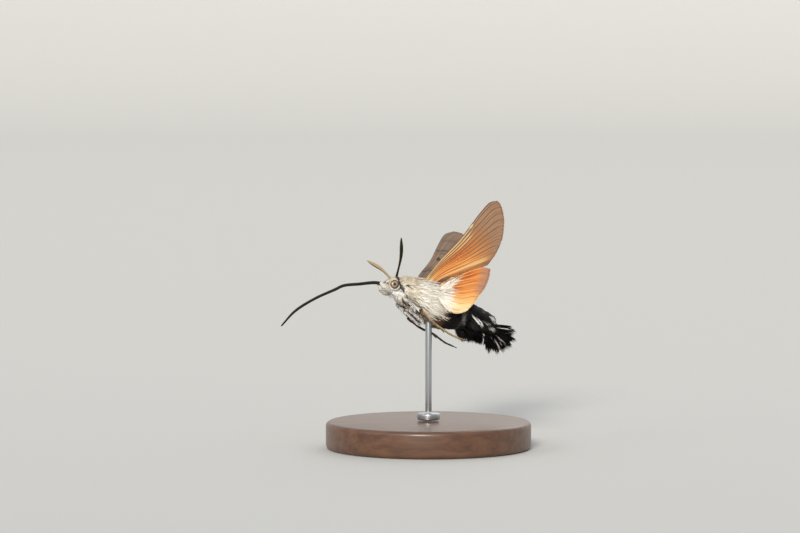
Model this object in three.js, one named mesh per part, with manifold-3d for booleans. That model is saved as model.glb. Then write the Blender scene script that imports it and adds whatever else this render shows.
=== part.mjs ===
// Hummingbird hawk moth (Macroglossum stellatarum), life size, hovering, on a display stand.
// Millimetres, +Z up. The origin is the centre of the underside of the stand's base.
// The moth is shaped in its own frame, +X to the head, +Y to its left and +Z to its back, with the
// centre of the thorax at zero, and one turned group sets it on the stand.
import * as THREE from 'three';
import { mergeVertices } from 'three/addons/utils/BufferGeometryUtils.js';
import Module from 'manifold-3d';

// Gap kept between touching pieces
const GAP = 0.3;

// Attitude in flight, degrees, and the place of the thorax over the stand
const HEADING = -160.4;
const HEAD_UP = 25.3;
const BANK = 24;
const THORAX_PLACE = [-1.2, 1.4, 28];

// Stand
const BASE_RADIUS = 19;
const BASE_THICKNESS = 5;
const BASE_CHAMFER = 0.8;
const COLLAR_RADIUS = 2.1;
const COLLAR_HEIGHT = 1.2;
const ROD_RADIUS = 0.6;

// Trunk, from tail to neck: place along it, half width, top and bottom
const TRUNK = [
  [-15.2, 1.75, 2.1, -0.75],
  [-14, 2.3, 2.4, -1.1],
  [-12, 2.8, 2.6, -1.6],
  [-10, 3.1, 2.7, -2.2],
  [-8, 3.2, 2.9, -3.1],
  [-6, 3.25, 3.1, -3.8],
  [-3.5, 3.35, 3.35, -4.2],
  [-1, 3.5, 3.5, -4.35],
  [2, 3.1, 3.2, -3.45],
  [4, 2.5, 2.5, -2.8],
  [5.4, 1.9, 1.8, -2.15],
];
const TRUNK_SIDES = 20;
const NECK = 5.1;
const WAIST = -4.2;
const ABDOMEN_CUTS = [-8.1, -11.8];
const ABDOMEN_END = -14.9;
const SEGMENT_LIP = 0.12;
const SEGMENT_SWELL = 0.14;

// Head, from brow to nape, in the same columns as the trunk
const HEAD = [
  [5.2, 1.75, 1.25, -2.1],
  [6, 1.95, 1.3, -2.15],
  [6.8, 1.9, 1, -2],
  [7.4, 1.55, 0.45, -1.75],
  [7.9, 1.05, -0.15, -1.45],
  [8.2, 0.6, -0.6, -1.25],
];
const HEAD_FRONT = 8.2;
const HEAD_SIDES = 18;
const EYE_CENTRE = [6.6, 1.7, -1];
const EYE_HALF_SIZE = [1.08, 0.8, 1.1];

// Palps: centre line of the left one, and its radius at even steps
const PALP_LINE = [[6.2, 0.62, -2], [7.4, 0.66, -1.95], [8.4, 0.56, -1.65], [8.95, 0.42, -1.3]];
const PALP_RADII = [0.35, 0.55, 0.5, 0.42, 0.2];

// Tongue: centre line in the middle plane, from the brow down to the tip
const TONGUE_LINE = [
  [8.5, -1.1],
  [10.1, -1.73],
  [12.6, -3.19],
  [15.6, -4.95],
  [17, -6.43],
  [20.35, -9.94],
  [23.4, -14],
  [25.2, -18],
];
const TONGUE_RADII = [0.32, 0.29, 0.27, 0.25, 0.25, 0.14];
const TONGUE_CUTS = [0, 0.33, 0.62, 1];

// Antennae: foot and tip of the left one, how far it bows back, and its radius at even steps
const ANTENNA_FOOT = [6.3, 0.9, 1];
const ANTENNA_TIP = [9.75, 6.75, 5.6];
const ANTENNA_BOW = 0.35;
const ANTENNA_RADII = [0.3, 0.25, 0.25, 0.28, 0.34, 0.4, 0.4, 0.3, 0.12];

// Legs: the left ones' joints. The thigh runs from the body to the knee, and the shank from there
// to the foot. The radii are spaced evenly along each.
const LEGS = {
  fore: {
    thigh: [[3.4, 0.9, -2.7], [4.3, 1.45, -3.05]],
    shank: [[4.3, 1.45, -3.05], [3.3, 1.8, -3.15], [2.2, 1.8, -3.55], [1.2, 1.5, -4.15]],
  },
  mid: {
    thigh: [[1.2, 0.75, -3.6], [2.5, 0.85, -3.85]],
    shank: [[2.5, 0.85, -3.85], [1.6, 0.8, -4.25], [0, 0.75, -4.85], [-1.3, 0.7, -5.25]],
  },
  hind: {
    thigh: [[-1.5, 1.3, -3.8], [-0.3, 2.1, -4.35], [0.7, 2.5, -3.85]],
    shank: [[0.7, 2.5, -3.85], [-2.2, 2.1, -4.95], [-4.7, 1.65, -5.2], [-7.5, 1.85, -5.65], [-10.3, 2.1, -5.5]],
  },
};
const THIGH_RADII = [0.42, 0.4, 0.36];
const SHANK_RADII = [0.36, 0.34, 0.3, 0.26, 0.15];

// Wings: root, sweep and stroke angles, twist at root and tip, and the outline in the wing's own
// plane, along the span and back from the leading edge
const FOREWING = {
  root: [0.8, 2.5, 1.5],
  twist: [8, 26],
  length: 21.8,
  costa: [[0.2, -0.8], [5.4, -1.1], [10.9, -1], [17.3, -1.65], [20.5, -1.7], [22.1, -0.7]],
  margin: [[22.1, -0.7], [22.3, 0.8], [21.4, 3.4], [19.1, 5.8], [16.2, 6.85], [13.05, 7.1]],
  dorsum: [[0.1, 1.3], [2.4, 1.4], [6.2, 3.2], [10.1, 5.4], [13.05, 7.1]],
  columns: 11,
  camber: 0.35,
  veins: [
    { count: 4, root: [0.12, 0.3], margin: [0.07, 0.3], start: 0 },
    { count: 3, root: [0.4, 0.52], margin: [0.4, 0.56], start: 0.45 },
    { count: 3, root: [0.62, 0.86], margin: [0.66, 0.91], start: 0 },
  ],
  side: { left: { sweep: 22.6, stroke: 81 }, right: { sweep: 21.6, stroke: 70 } },
};
const HINDWING = {
  root: [-1.5, 3.55, 1.2],
  twist: [-10, -4],
  length: 13,
  costa: [[0.3, -0.3], [3.5, -0.9], [7.5, -0.95], [10.8, -0.7], [12.25, 0.1]],
  margin: [[12.25, 0.1], [10.65, 1.8], [8.45, 3.3], [6.5, 4.1], [5.45, 4.75], [2.5, 5.9]],
  dorsum: [[-1.5, 1.6], [-1.35, 3.4], [-0.4, 4.95], [0.6, 5.65], [2.5, 5.9]],
  columns: 8,
  camber: 0.2,
  veins: [
    { count: 2, root: [0.14, 0.26], margin: [0.1, 0.24], start: 0 },
    { count: 2, root: [0.38, 0.48], margin: [0.37, 0.5], start: 0.35 },
    { count: 3, root: [0.6, 0.86], margin: [0.63, 0.89], start: 0 },
  ],
  side: { left: { sweep: 45.6, stroke: 92 }, right: { sweep: 45.6, stroke: 82 } },
};
const WING_HALF_THICKNESS = 0.25;
const WING_EDGE_HALF_THICKNESS = 0.19;
const VEIN_RISE = 0.13;
const VEIN_HALF_WIDTH = 0.24;

// Tail brush: where its locks start, droop of its plane, spread to each side, and reach of its
// locks in the middle and at the sides
const BRUSH_ROOT = [-14.6, 0, 0.6];
const BRUSH_DROOP = 35;
const BRUSH_SPREAD = 64;
const BRUSH_REACH = [5.6, 7];
const BRUSH_LAYERS = [{ count: 12, lift: 0.38 }, { count: 11, lift: -0.38 }];
const BRUSH_LOCK = { width: 1.15, thickness: 0.5, bend: 0.5 };

// Side tufts: the rows' places along the abdomen, the angle below its widest line, and their lie
const TUFT_ROWS = { abdomen_middle: [-9.7, -11.2], abdomen_rear: [-12.4, -13] };
const TUFT_LOCKS = 4;
const TUFT_ANGLES = [25, -38];
const TUFT_LIE = [-0.62, 0.45, -0.62];
const TUFT_LOCK = { length: 2.9, width: 1, thickness: 0.5, bend: 0.4 };

// Spurs of the hind shanks: share of the shank where each pair grows, length and radius
const SPUR_PLACES = [0.36, 0.49];
const SPUR_LENGTH = 1.2;
const SPUR_RADII = [0.25, 0.22, 0.1];

const radians = THREE.MathUtils.degToRad;
const mix = THREE.MathUtils.lerp;
const smooth = THREE.MathUtils.smoothstep;
const vector = (place) => new THREE.Vector3(...place);
const mirrored = ([x, y, z], side) => [x, side === 'left' ? y : -y, z];

// Repeatable draws between 0 and 1, and a value varied by a share of itself
let draw = 20;
const random = () => {
  draw = (draw * 16807) % 2147483647;
  return draw / 2147483647;
};
const about = (value, share) => value * (1 + share * (2 * random() - 1));

const wasm = await Module();
wasm.setup();

const toSolid = (geometry) => {
  const bare = geometry.clone();
  bare.deleteAttribute('normal');
  bare.deleteAttribute('uv');
  const merged = mergeVertices(bare, 1e-4);
  return new wasm.Manifold(new wasm.Mesh({
    numProp: 3,
    vertProperties: new Float32Array(merged.attributes.position.array),
    triVerts: new Uint32Array(merged.index.array),
  }));
};

// The largest closed surface of a solid, as a geometry
const toGeometry = (solid) => {
  const pieces = solid.decompose();
  const largest = pieces.reduce((a, b) => (b.volume() > a.volume() ? b : a));
  const mesh = largest.getMesh();
  const geometry = new THREE.BufferGeometry();
  geometry.setAttribute('position', new THREE.BufferAttribute(mesh.vertProperties, 3));
  geometry.setIndex(new THREE.BufferAttribute(mesh.triVerts, 1));
  geometry.computeVertexNormals();
  return geometry;
};

const block = (low, high) => {
  const size = high.map((value, i) => value - low[i]);
  const box = new THREE.BoxGeometry(...size);
  box.translate(...low.map((value, i) => value + size[i] / 2));
  return toSolid(box);
};

const ellipsoid = (centre, halfSizes, around = 14, up = 10) => {
  const ball = new THREE.SphereGeometry(1, around, up);
  ball.scale(...halfSizes);
  ball.translate(...centre);
  return ball;
};

// A table of stations read as smooth curves
const curves = (table) => {
  const places = table.map((row) => row[0]);
  const sizes = table.flatMap((row) => row.slice(1));
  return new THREE.CubicInterpolant(places, sizes, table[0].length - 1);
};
const trunkCurves = curves(TRUNK);
const headCurves = curves(HEAD);

// A closed form of oval sections. Each row is a place along the body, from front to rear, and how
// much the section swells there; grow moves the whole surface out.
const ovalForm = (profile, rows, sides, grow = 0) => {
  const form = new THREE.CylinderGeometry(1, 1, 1, sides, rows.length - 1);
  const point = form.attributes.position;
  for (let i = 0; i < point.count; i += 1) {
    const index = Math.round((0.5 - point.getY(i)) * (rows.length - 1));
    const [x, swell] = rows[index];
    const [halfWidth, top, bottom] = profile.evaluate(x);
    const end = grow * ((index === 0) - (index === rows.length - 1));
    const y = (halfWidth + swell + grow) * point.getZ(i);
    const z = (top + bottom) / 2 + ((top - bottom) / 2 + swell + grow) * point.getX(i);
    point.setXYZ(i, x + end, y, z);
  }
  return form;
};

const evenRows = (front, rear, steps) =>
  Array.from({ length: steps + 1 }, (_, i) => [mix(front, rear, i / steps), 0]);

// Rows of a stretch of abdomen, where each segment flares and laps over the next
const segmentRows = (front, rear, segments) => {
  const rows = [[front, 0]];
  for (let i = 0; i < segments; i += 1) {
    const start = mix(front, rear, i / segments);
    const end = mix(front, rear, (i + 1) / segments);
    if (i > 0) rows.push([start - SEGMENT_LIP, 0]);
    rows.push([mix(start, end, 0.55), SEGMENT_SWELL * 0.75]);
    rows.push([end + (i < segments - 1 ? SEGMENT_LIP : 0), SEGMENT_SWELL]);
  }
  return rows;
};

const LINE_FRAMES = 200;

// A round limb along a smooth line; the radii are spaced evenly from its start to its end, and
// from and to keep a stretch of the line, as shares of its length
const limb = (line, radii, { sides = 6, steps = 14, from = 0, to = 1, grow = 0 } = {}) => {
  const curve = new THREE.CatmullRomCurve3(line.map(vector), false, 'centripetal');
  const frames = curve.computeFrenetFrames(LINE_FRAMES);
  const form = new THREE.CylinderGeometry(1, 1, 1, sides, steps);
  const point = form.attributes.position;
  const place = new THREE.Vector3();
  for (let i = 0; i < point.count; i += 1) {
    const row = Math.round((0.5 - point.getY(i)) * steps);
    const share = mix(from, to, row / steps);
    const step = Math.min(share * (radii.length - 1), radii.length - 1 - 1e-9);
    const before = Math.floor(step);
    const radius = mix(radii[before], radii[before + 1], step - before) + grow;
    const frame = Math.round(share * LINE_FRAMES);
    curve.getPointAt(share, place);
    place.addScaledVector(frames.normals[frame], point.getX(i) * radius);
    place.addScaledVector(frames.binormals[frame], point.getZ(i) * radius);
    point.setXYZ(i, place.x, place.y, place.z);
  }
  return form;
};

// A flat tapered lock: it lies along one direction from its root, flat to another, and bends
// down from that side towards its tip
const lock = (root, lie, flat, { length, width, thickness, bend }) => {
  const form = new THREE.CylinderGeometry(1, 1, 1, 4, 3);
  const point = form.attributes.position;
  const side = new THREE.Vector3().crossVectors(lie, flat);
  for (let i = 0; i < point.count; i += 1) {
    const share = point.getY(i) + 0.5;
    const taper = 0.08 + 0.92 * (1 - share ** 1.8);
    const place = root.clone().addScaledVector(lie, share * length);
    place.addScaledVector(side, (point.getX(i) * width * taper) / 2);
    place.addScaledVector(flat, (point.getZ(i) * thickness * taper) / 2 - bend * share ** 2);
    point.setXYZ(i, ...place.toArray());
  }
  return toSolid(form);
};

// Maps the wing's own plane, x along the span and y back from the leading edge, to the moth's frame
const wingPlane = (wing, side) => {
  const sweep = radians(wing.side[side].sweep);
  const stroke = radians(wing.side[side].stroke);
  const span = new THREE.Vector3(
    -Math.sin(sweep),
    Math.cos(sweep) * Math.cos(stroke),
    Math.cos(sweep) * Math.sin(stroke),
  );
  const chord = new THREE.Vector3(
    -Math.cos(sweep),
    -Math.sin(sweep) * Math.cos(stroke),
    -Math.sin(sweep) * Math.sin(stroke),
  );
  const rise = new THREE.Vector3().crossVectors(span, chord);
  return (x, y, lift) => {
    const share = THREE.MathUtils.clamp(x / wing.length, 0, 1);
    const twist = radians(mix(wing.twist[0], wing.twist[1], share));
    const back = chord.clone().multiplyScalar(Math.cos(twist)).addScaledVector(rise, Math.sin(twist));
    const out = new THREE.Vector3().crossVectors(back, span);
    const place = vector(wing.root).addScaledVector(span, x).addScaledVector(back, y);
    return mirrored(place.addScaledVector(out, lift).toArray(), side);
  };
};

// A point of the membrane: u runs from root to outer margin, v from leading to trailing edge
const membrane = (wing) => {
  const edge = (points) => new THREE.SplineCurve(points.map(([x, y]) => new THREE.Vector2(x, y)));
  const costa = edge(wing.costa);
  const margin = edge(wing.margin);
  const dorsum = edge(wing.dorsum);
  const [rootFront, apex] = [costa.getPoint(0), costa.getPoint(1)];
  const [rootBack, corner] = [dorsum.getPoint(0), dorsum.getPoint(1)];
  return (u, v) => {
    const place = costa.getPointAt(u).multiplyScalar(1 - v).addScaledVector(dorsum.getPointAt(u), v);
    const rootChord = rootFront.clone().lerp(rootBack, v);
    place.addScaledVector(rootChord, 1 - u).addScaledVector(margin.getPointAt(v), u);
    place.addScaledVector(rootFront, -(1 - u) * (1 - v)).addScaledVector(apex, -u * (1 - v));
    return place.addScaledVector(rootBack, -(1 - u) * v).addScaledVector(corner, -u * v);
  };
};

// A closed thin sheet, with the same triangles on both faces and a strip round the rim
const sheet = (columns, rows, place) => {
  const plane = new THREE.PlaneGeometry(1, 1, columns, rows);
  const grid = plane.attributes.position;
  const points = [];
  [1, -1].forEach((face) => {
    for (let i = 0; i < grid.count; i += 1) {
      points.push(...place(grid.getX(i) + 0.5, Math.round((0.5 - grid.getY(i)) * rows), face));
    }
  });
  const faces = [...plane.index.array];
  for (let i = 0; i < plane.index.count; i += 3) {
    const [a, b, c] = plane.index.array.slice(i, i + 3);
    faces.push(c + grid.count, b + grid.count, a + grid.count);
  }
  const at = (column, row) => column + (columns + 1) * row;
  const rim = [];
  for (let i = 0; i < columns; i += 1) rim.push(at(i, rows));
  for (let i = rows; i > 0; i -= 1) rim.push(at(columns, i));
  for (let i = columns; i > 0; i -= 1) rim.push(at(i, 0));
  for (let i = 0; i < rows; i += 1) rim.push(at(0, i));
  rim.forEach((a, i) => {
    const b = rim[(i + 1) % rim.length];
    faces.push(b, a, a + grid.count, b, a + grid.count, b + grid.count);
  });
  const geometry = new THREE.BufferGeometry();
  geometry.setAttribute('position', new THREE.Float32BufferAttribute(points, 3));
  geometry.setIndex(faces);
  return geometry;
};

// Rows of a wing from leading to trailing edge: each vein is a foot, a crest and a foot. A row has
// its share of the chord at the root and at the margin, and where its ridge starts, if it has one.
const wingRows = (wing) => {
  const crests = wing.veins.flatMap(({ count, root, margin, start }) =>
    Array.from({ length: count }, (_, i) => {
      const share = count > 1 ? i / (count - 1) : 0;
      return { root: mix(...root, share), margin: mix(...margin, share), start };
    }));
  const chord = new THREE.Vector2(...wing.margin[0]).distanceTo(new THREE.Vector2(...wing.margin.at(-1)));
  const edges = [{ root: 0, margin: 0 }, ...crests, { root: 1, margin: 1 }];
  const rows = crests.flatMap((crest, i) => {
    const [before, after] = [edges[i], edges[i + 2]];
    const room = (end) => Math.min(crest[end] - before[end], after[end] - crest[end]) * 0.3;
    const foot = { root: room('root'), margin: Math.min(room('margin'), VEIN_HALF_WIDTH / chord) };
    return [-1, 0, 1].map((side) => ({
      root: crest.root + side * foot.root,
      margin: crest.margin + side * foot.margin,
      start: side === 0 ? crest.start : Infinity,
    }));
  });
  return [{ root: 0, margin: 0, start: Infinity }, ...rows, { root: 1, margin: 1, start: Infinity }];
};

const EDGE_SHARE = 0.08;
const VEIN_SPREAD = [0.1, 0.75];
const wingForm = (wing, side) => {
  const place = wingPlane(wing, side);
  const surface = membrane(wing);
  const rows = wingRows(wing);
  return sheet(wing.columns, rows.length - 1, (u, index, face) => {
    const row = rows[index];
    const v = mix(row.root, row.margin, smooth(u, ...VEIN_SPREAD));
    const { x, y } = surface(u, v);
    const inner = smooth(Math.min(v, 1 - v, 1 - u), 0, EDGE_SHARE);
    const ridge = smooth(u, row.start - 0.1, row.start + 0.1) * (1 - smooth(u, 0.85, 1));
    const half = mix(WING_EDGE_HALF_THICKNESS, WING_HALF_THICKNESS, inner) + VEIN_RISE * ridge;
    const camber = wing.camber * Math.sin(Math.PI * v) * Math.sin(Math.PI * Math.min(u + 0.15, 1));
    return place(x, y, (side === 'left' ? face : -face) * half - camber);
  });
};

const materials = {
  grey: new THREE.MeshStandardMaterial({ color: 0x9a8c78, roughness: 0.9 }),
  cream: new THREE.MeshStandardMaterial({ color: 0xd9d2c2, roughness: 0.9 }),
  black: new THREE.MeshStandardMaterial({ color: 0x1d1a1c, roughness: 0.85 }),
  eye: new THREE.MeshStandardMaterial({ color: 0x4a3a26, roughness: 0.25 }),
  dark: new THREE.MeshStandardMaterial({ color: 0x2e2a22, roughness: 0.6 }),
  forewing: new THREE.MeshStandardMaterial({ color: 0xa9805c, roughness: 0.8 }),
  hindwing: new THREE.MeshStandardMaterial({ color: 0xd98a3a, roughness: 0.8 }),
  wood: new THREE.MeshStandardMaterial({ color: 0x4b3223, roughness: 0.5 }),
  steel: new THREE.MeshStandardMaterial({ color: 0xb9bcc0, roughness: 0.35, metalness: 1 }),
};

const moth = new THREE.Group();
moth.rotation.set(radians(BANK), radians(-HEAD_UP), radians(HEADING), 'ZYX');
moth.position.set(...THORAX_PLACE);
moth.updateMatrixWorld(true);

const model = new THREE.Group();
model.add(moth);

const addPiece = (parent, name, solid, material) => {
  const mesh = new THREE.Mesh(toGeometry(solid), material.clone());
  mesh.name = name;
  parent.add(mesh);
};

// Trunk
const thoraxRows = evenRows(NECK - GAP / 2, WAIST + GAP / 2, 10);
const thorax = toSolid(ovalForm(trunkCurves, thoraxRows, TRUNK_SIDES));
addPiece(moth, 'thorax', thorax, materials.grey);

const abdomenRows = {
  abdomen_front: segmentRows(WAIST - GAP / 2, ABDOMEN_CUTS[0] + GAP / 2, 2),
  abdomen_middle: segmentRows(ABDOMEN_CUTS[0] - GAP / 2, ABDOMEN_CUTS[1] + GAP / 2, 2),
  abdomen_rear: segmentRows(ABDOMEN_CUTS[1] - GAP / 2, ABDOMEN_END, 2),
};

const abdomenRoom = (name) => toSolid(ovalForm(trunkCurves, abdomenRows[name], TRUNK_SIDES, GAP));

// The space that the trunk's neighbours leave it
const trunkRoom = Object.keys(abdomenRows).reduce(
  (solid, name) => solid.add(abdomenRoom(name)),
  toSolid(ovalForm(trunkCurves, thoraxRows, TRUNK_SIDES, GAP)),
);

// Locks of the side tufts that one stretch of abdomen carries
const sideTufts = (name) => {
  const locks = [];
  ['left', 'right'].forEach((side) => {
    TUFT_ROWS[name].forEach((x) => {
      const [halfWidth, top, bottom] = trunkCurves.evaluate(x);
      for (let i = 0; i < TUFT_LOCKS; i += 1) {
        const angle = radians(mix(...TUFT_ANGLES, i / (TUFT_LOCKS - 1)));
        const y = halfWidth * Math.cos(angle);
        const z = (top + bottom) / 2 + ((top - bottom) / 2) * Math.sin(angle);
        const out = vector(mirrored([0, Math.cos(angle), Math.sin(angle)], side));
        const lie = vector(mirrored(TUFT_LIE.map((part) => about(part, 0.12)), side));
        lie.addScaledVector(out, 0.15).normalize();
        const root = vector(mirrored([x, y, z], side)).addScaledVector(out, -0.45);
        root.addScaledVector(lie, -0.3);
        const flat = out.clone().addScaledVector(lie, -out.dot(lie)).normalize();
        locks.push(lock(root, lie, flat, { ...TUFT_LOCK, length: about(TUFT_LOCK.length, 0.18) }));
      }
    });
  });
  return locks.reduce((solid, piece) => solid.add(piece));
};

Object.entries(abdomenRows).forEach(([name, rows]) => {
  const core = toSolid(ovalForm(trunkCurves, rows, TRUNK_SIDES));
  if (name === 'abdomen_front') {
    addPiece(moth, name, core, materials.grey);
    return;
  }
  const neighbours = Object.keys(abdomenRows).filter((other) => other !== name).map(abdomenRoom);
  const tufts = neighbours.reduce((solid, room) => solid.subtract(room), sideTufts(name));
  addPiece(moth, name, core.add(tufts), materials.black);
});

// Tail brush: a short core and two layers of locks that fan out from it
const brush = () => {
  const droop = radians(BRUSH_DROOP);
  const along = new THREE.Vector3(-Math.cos(droop), 0, -Math.sin(droop));
  const flat = new THREE.Vector3(-Math.sin(droop), 0, Math.cos(droop));
  const across = new THREE.Vector3(0, 1, 0);
  const core = ellipsoid([0, 0, 0], [2.3, 1.9, 0.85]);
  core.rotateY(-droop);
  core.translate(...vector(BRUSH_ROOT).addScaledVector(along, 1.2).toArray());
  const pieces = BRUSH_LAYERS.flatMap(({ count, lift }) =>
    Array.from({ length: count }, (_, i) => {
      const angle = radians(mix(-BRUSH_SPREAD, BRUSH_SPREAD, i / (count - 1)) + 4 * (random() - 0.5));
      const lie = along.clone().multiplyScalar(Math.cos(angle)).addScaledVector(across, Math.sin(angle));
      const start = 0.9;
      const root = vector(BRUSH_ROOT).addScaledVector(flat, lift).addScaledVector(lie, start);
      const reach = about(mix(...BRUSH_REACH, Math.abs(Math.sin(angle))), 0.06) - start;
      const tilt = flat.clone().addScaledVector(lie, 0.1 * Math.sign(lift)).normalize();
      const bend = Math.sign(lift) * about(BRUSH_LOCK.bend, 0.4);
      return lock(root, lie, tilt, { ...BRUSH_LOCK, length: reach, bend });
    }));
  const fan = pieces.reduce((solid, piece) => solid.add(piece), toSolid(core));
  return fan.subtract(block([ABDOMEN_END - GAP, -9, -9], [0, 9, 9]));
};
addPiece(moth, 'tail_brush', brush(), materials.black);

// Head and all that it carries
const headRows = evenRows(HEAD_FRONT, NECK + GAP / 2, 7);
const headCore = toSolid(ovalForm(headCurves, headRows, HEAD_SIDES));
const headRoom = toSolid(ovalForm(headCurves, headRows, HEAD_SIDES, GAP));
const tongueLine = TONGUE_LINE.map(([x, z]) => [x, 0, z]);
const tongueRoom = toSolid(limb(tongueLine, TONGUE_RADII, { sides: 8, to: 0.2, grow: GAP }));
const eyeRooms = ['left', 'right'].map((side) => {
  const halfSizes = EYE_HALF_SIZE.map((size) => size + GAP);
  return toSolid(ellipsoid(mirrored(EYE_CENTRE, side), halfSizes));
});
const head = eyeRooms.reduce((solid, room) => solid.subtract(room), headCore);
addPiece(moth, 'head', head, materials.grey);

['base', 'middle', 'tip'].forEach((name, i) => {
  const slack = GAP / 2 / 25;
  const from = TONGUE_CUTS[i] + (i > 0 ? slack : 0);
  const to = TONGUE_CUTS[i + 1] - (i < 2 ? slack : 0);
  const tube = limb(tongueLine, TONGUE_RADII, { sides: 8, steps: 8, from, to });
  addPiece(moth, `proboscis_${name}`, toSolid(tube), materials.dark);
});

const midPlane = block([0, -GAP / 2, -9], [12, GAP / 2, 9]);
['left', 'right'].forEach((side) => {
  const eye = ellipsoid(mirrored(EYE_CENTRE, side), EYE_HALF_SIZE);
  addPiece(moth, `eye_${side}`, toSolid(eye), materials.eye);

  const palp = toSolid(limb(PALP_LINE.map((p) => mirrored(p, side)), PALP_RADII, { sides: 8, steps: 8 }));
  const rooms = [headRoom, tongueRoom, midPlane, ...eyeRooms];
  const clear = rooms.reduce((solid, room) => solid.subtract(room), palp);
  addPiece(moth, `palp_${side}`, clear, materials.cream);

  const foot = vector(ANTENNA_FOOT);
  const tip = vector(ANTENNA_TIP);
  const middle = foot.clone().lerp(tip, 0.5).add(new THREE.Vector3(-ANTENNA_BOW, 0, ANTENNA_BOW));
  const line = [foot, middle, tip].map((p) => mirrored(p.toArray(), side));
  const antenna = toSolid(limb(line, ANTENNA_RADII, { steps: 16 }));
  addPiece(moth, `antenna_${side}`, antenna.subtract(headRoom), materials.dark);
});

// Two pairs of spurs on a hind shank
const spurs = (line) => {
  const curve = new THREE.CatmullRomCurve3(line.map(vector), false, 'centripetal');
  return SPUR_PLACES.flatMap((share) => [-1, 1].map((turn) => {
    const start = curve.getPointAt(share);
    const lie = curve.getTangentAt(share).add(new THREE.Vector3(0, 0.25 * turn, -0.3)).normalize();
    const tip = start.clone().addScaledVector(lie, SPUR_LENGTH);
    return toSolid(limb([start.toArray(), tip.toArray()], SPUR_RADII, { sides: 5, steps: 2 }));
  }));
};

// Legs
['left', 'right'].forEach((side) => {
  Object.entries(LEGS).forEach(([name, leg]) => {
    const [thighLine, shankLine] = [leg.thigh, leg.shank].map((line) => line.map((p) => mirrored(p, side)));
    const thigh = toSolid(limb(thighLine, THIGH_RADII, { steps: 5 }));
    const shank = toSolid(limb(shankLine, SHANK_RADII, { steps: 14 }));
    const pieces = [shank, ...(name === 'hind' ? spurs(shankLine) : [])];
    const solid = pieces.reduce((sum, piece) => sum.add(piece), thigh).subtract(trunkRoom);
    addPiece(moth, `${name}leg_${side}`, solid, materials.cream);
  });
});

// Wings
['left', 'right'].forEach((side) => {
  const forewing = toSolid(wingForm(FOREWING, side)).subtract(trunkRoom);
  addPiece(moth, `forewing_${side}`, forewing, materials.forewing);
  const hindwing = toSolid(wingForm(HINDWING, side)).subtract(trunkRoom);
  addPiece(moth, `hindwing_${side}`, hindwing, materials.hindwing);
});

// Stand
const baseOutline = [
  [0, 0],
  [BASE_RADIUS - BASE_CHAMFER / 2, 0],
  [BASE_RADIUS, BASE_CHAMFER / 2],
  [BASE_RADIUS, BASE_THICKNESS - BASE_CHAMFER],
  [BASE_RADIUS - BASE_CHAMFER, BASE_THICKNESS],
  [0, BASE_THICKNESS],
];
const base = new THREE.LatheGeometry(baseOutline.map(([r, z]) => new THREE.Vector2(r, z)), 40);
base.rotateX(Math.PI / 2);
addPiece(model, 'stand_base', toSolid(base), materials.wood);

const pillar = (radius, bottom, top, sides) => {
  const form = new THREE.CylinderGeometry(radius, radius, top - bottom, sides);
  form.rotateX(Math.PI / 2);
  form.translate(0, 0, (top + bottom) / 2);
  return toSolid(form);
};
const collarTop = BASE_THICKNESS + GAP + COLLAR_HEIGHT;
addPiece(model, 'stand_collar', pillar(COLLAR_RADIUS, BASE_THICKNESS + GAP, collarTop, 24), materials.steel);

const room = ovalForm(trunkCurves, thoraxRows, TRUNK_SIDES, GAP).applyMatrix4(moth.matrixWorld);
const rod = pillar(ROD_RADIUS, collarTop + GAP, THORAX_PLACE[2], 12).subtract(toSolid(room));
addPiece(model, 'stand_rod', rod, materials.steel);

export default model;
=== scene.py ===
"""Looks of the hummingbird hawk moth and its display stand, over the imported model."""

import math

import bmesh
import bpy
import numpy as np
from mathutils import Euler, Matrix, Vector, noise


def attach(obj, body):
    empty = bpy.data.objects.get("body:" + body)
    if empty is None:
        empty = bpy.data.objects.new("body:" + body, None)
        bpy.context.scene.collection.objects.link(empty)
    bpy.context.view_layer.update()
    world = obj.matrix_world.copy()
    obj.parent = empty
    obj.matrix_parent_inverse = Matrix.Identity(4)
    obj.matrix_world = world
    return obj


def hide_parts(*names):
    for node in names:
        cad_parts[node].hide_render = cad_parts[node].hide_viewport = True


bl_info = {
    "name": "Hummingbird hawk moth",
    "version": (1, 0, 0),
    "blender": (4, 5, 0),
    "location": "View3D > Sidebar > Moth",
    "description": "Coat, wings, eyes, limbs and stand of a life-size hawk moth model",
    "category": "Object",
}

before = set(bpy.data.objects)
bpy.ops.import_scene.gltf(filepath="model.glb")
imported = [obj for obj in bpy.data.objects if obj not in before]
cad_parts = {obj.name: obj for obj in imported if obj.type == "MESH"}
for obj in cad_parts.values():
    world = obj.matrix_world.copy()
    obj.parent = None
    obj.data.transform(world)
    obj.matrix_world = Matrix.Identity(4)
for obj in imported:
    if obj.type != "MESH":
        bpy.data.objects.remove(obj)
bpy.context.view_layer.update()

MM = 0.001

# The moth's own frame, millimetres: +X to the head, +Y to its left, +Z to its back
MOTH_PLACE = np.array([-1.2, 1.4, 28.0])
MOTH_TURN = Euler((math.radians(24), math.radians(-25.3), math.radians(-160.4)), "XYZ")
MOTH_AXES = np.array(MOTH_TURN.to_matrix())

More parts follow.
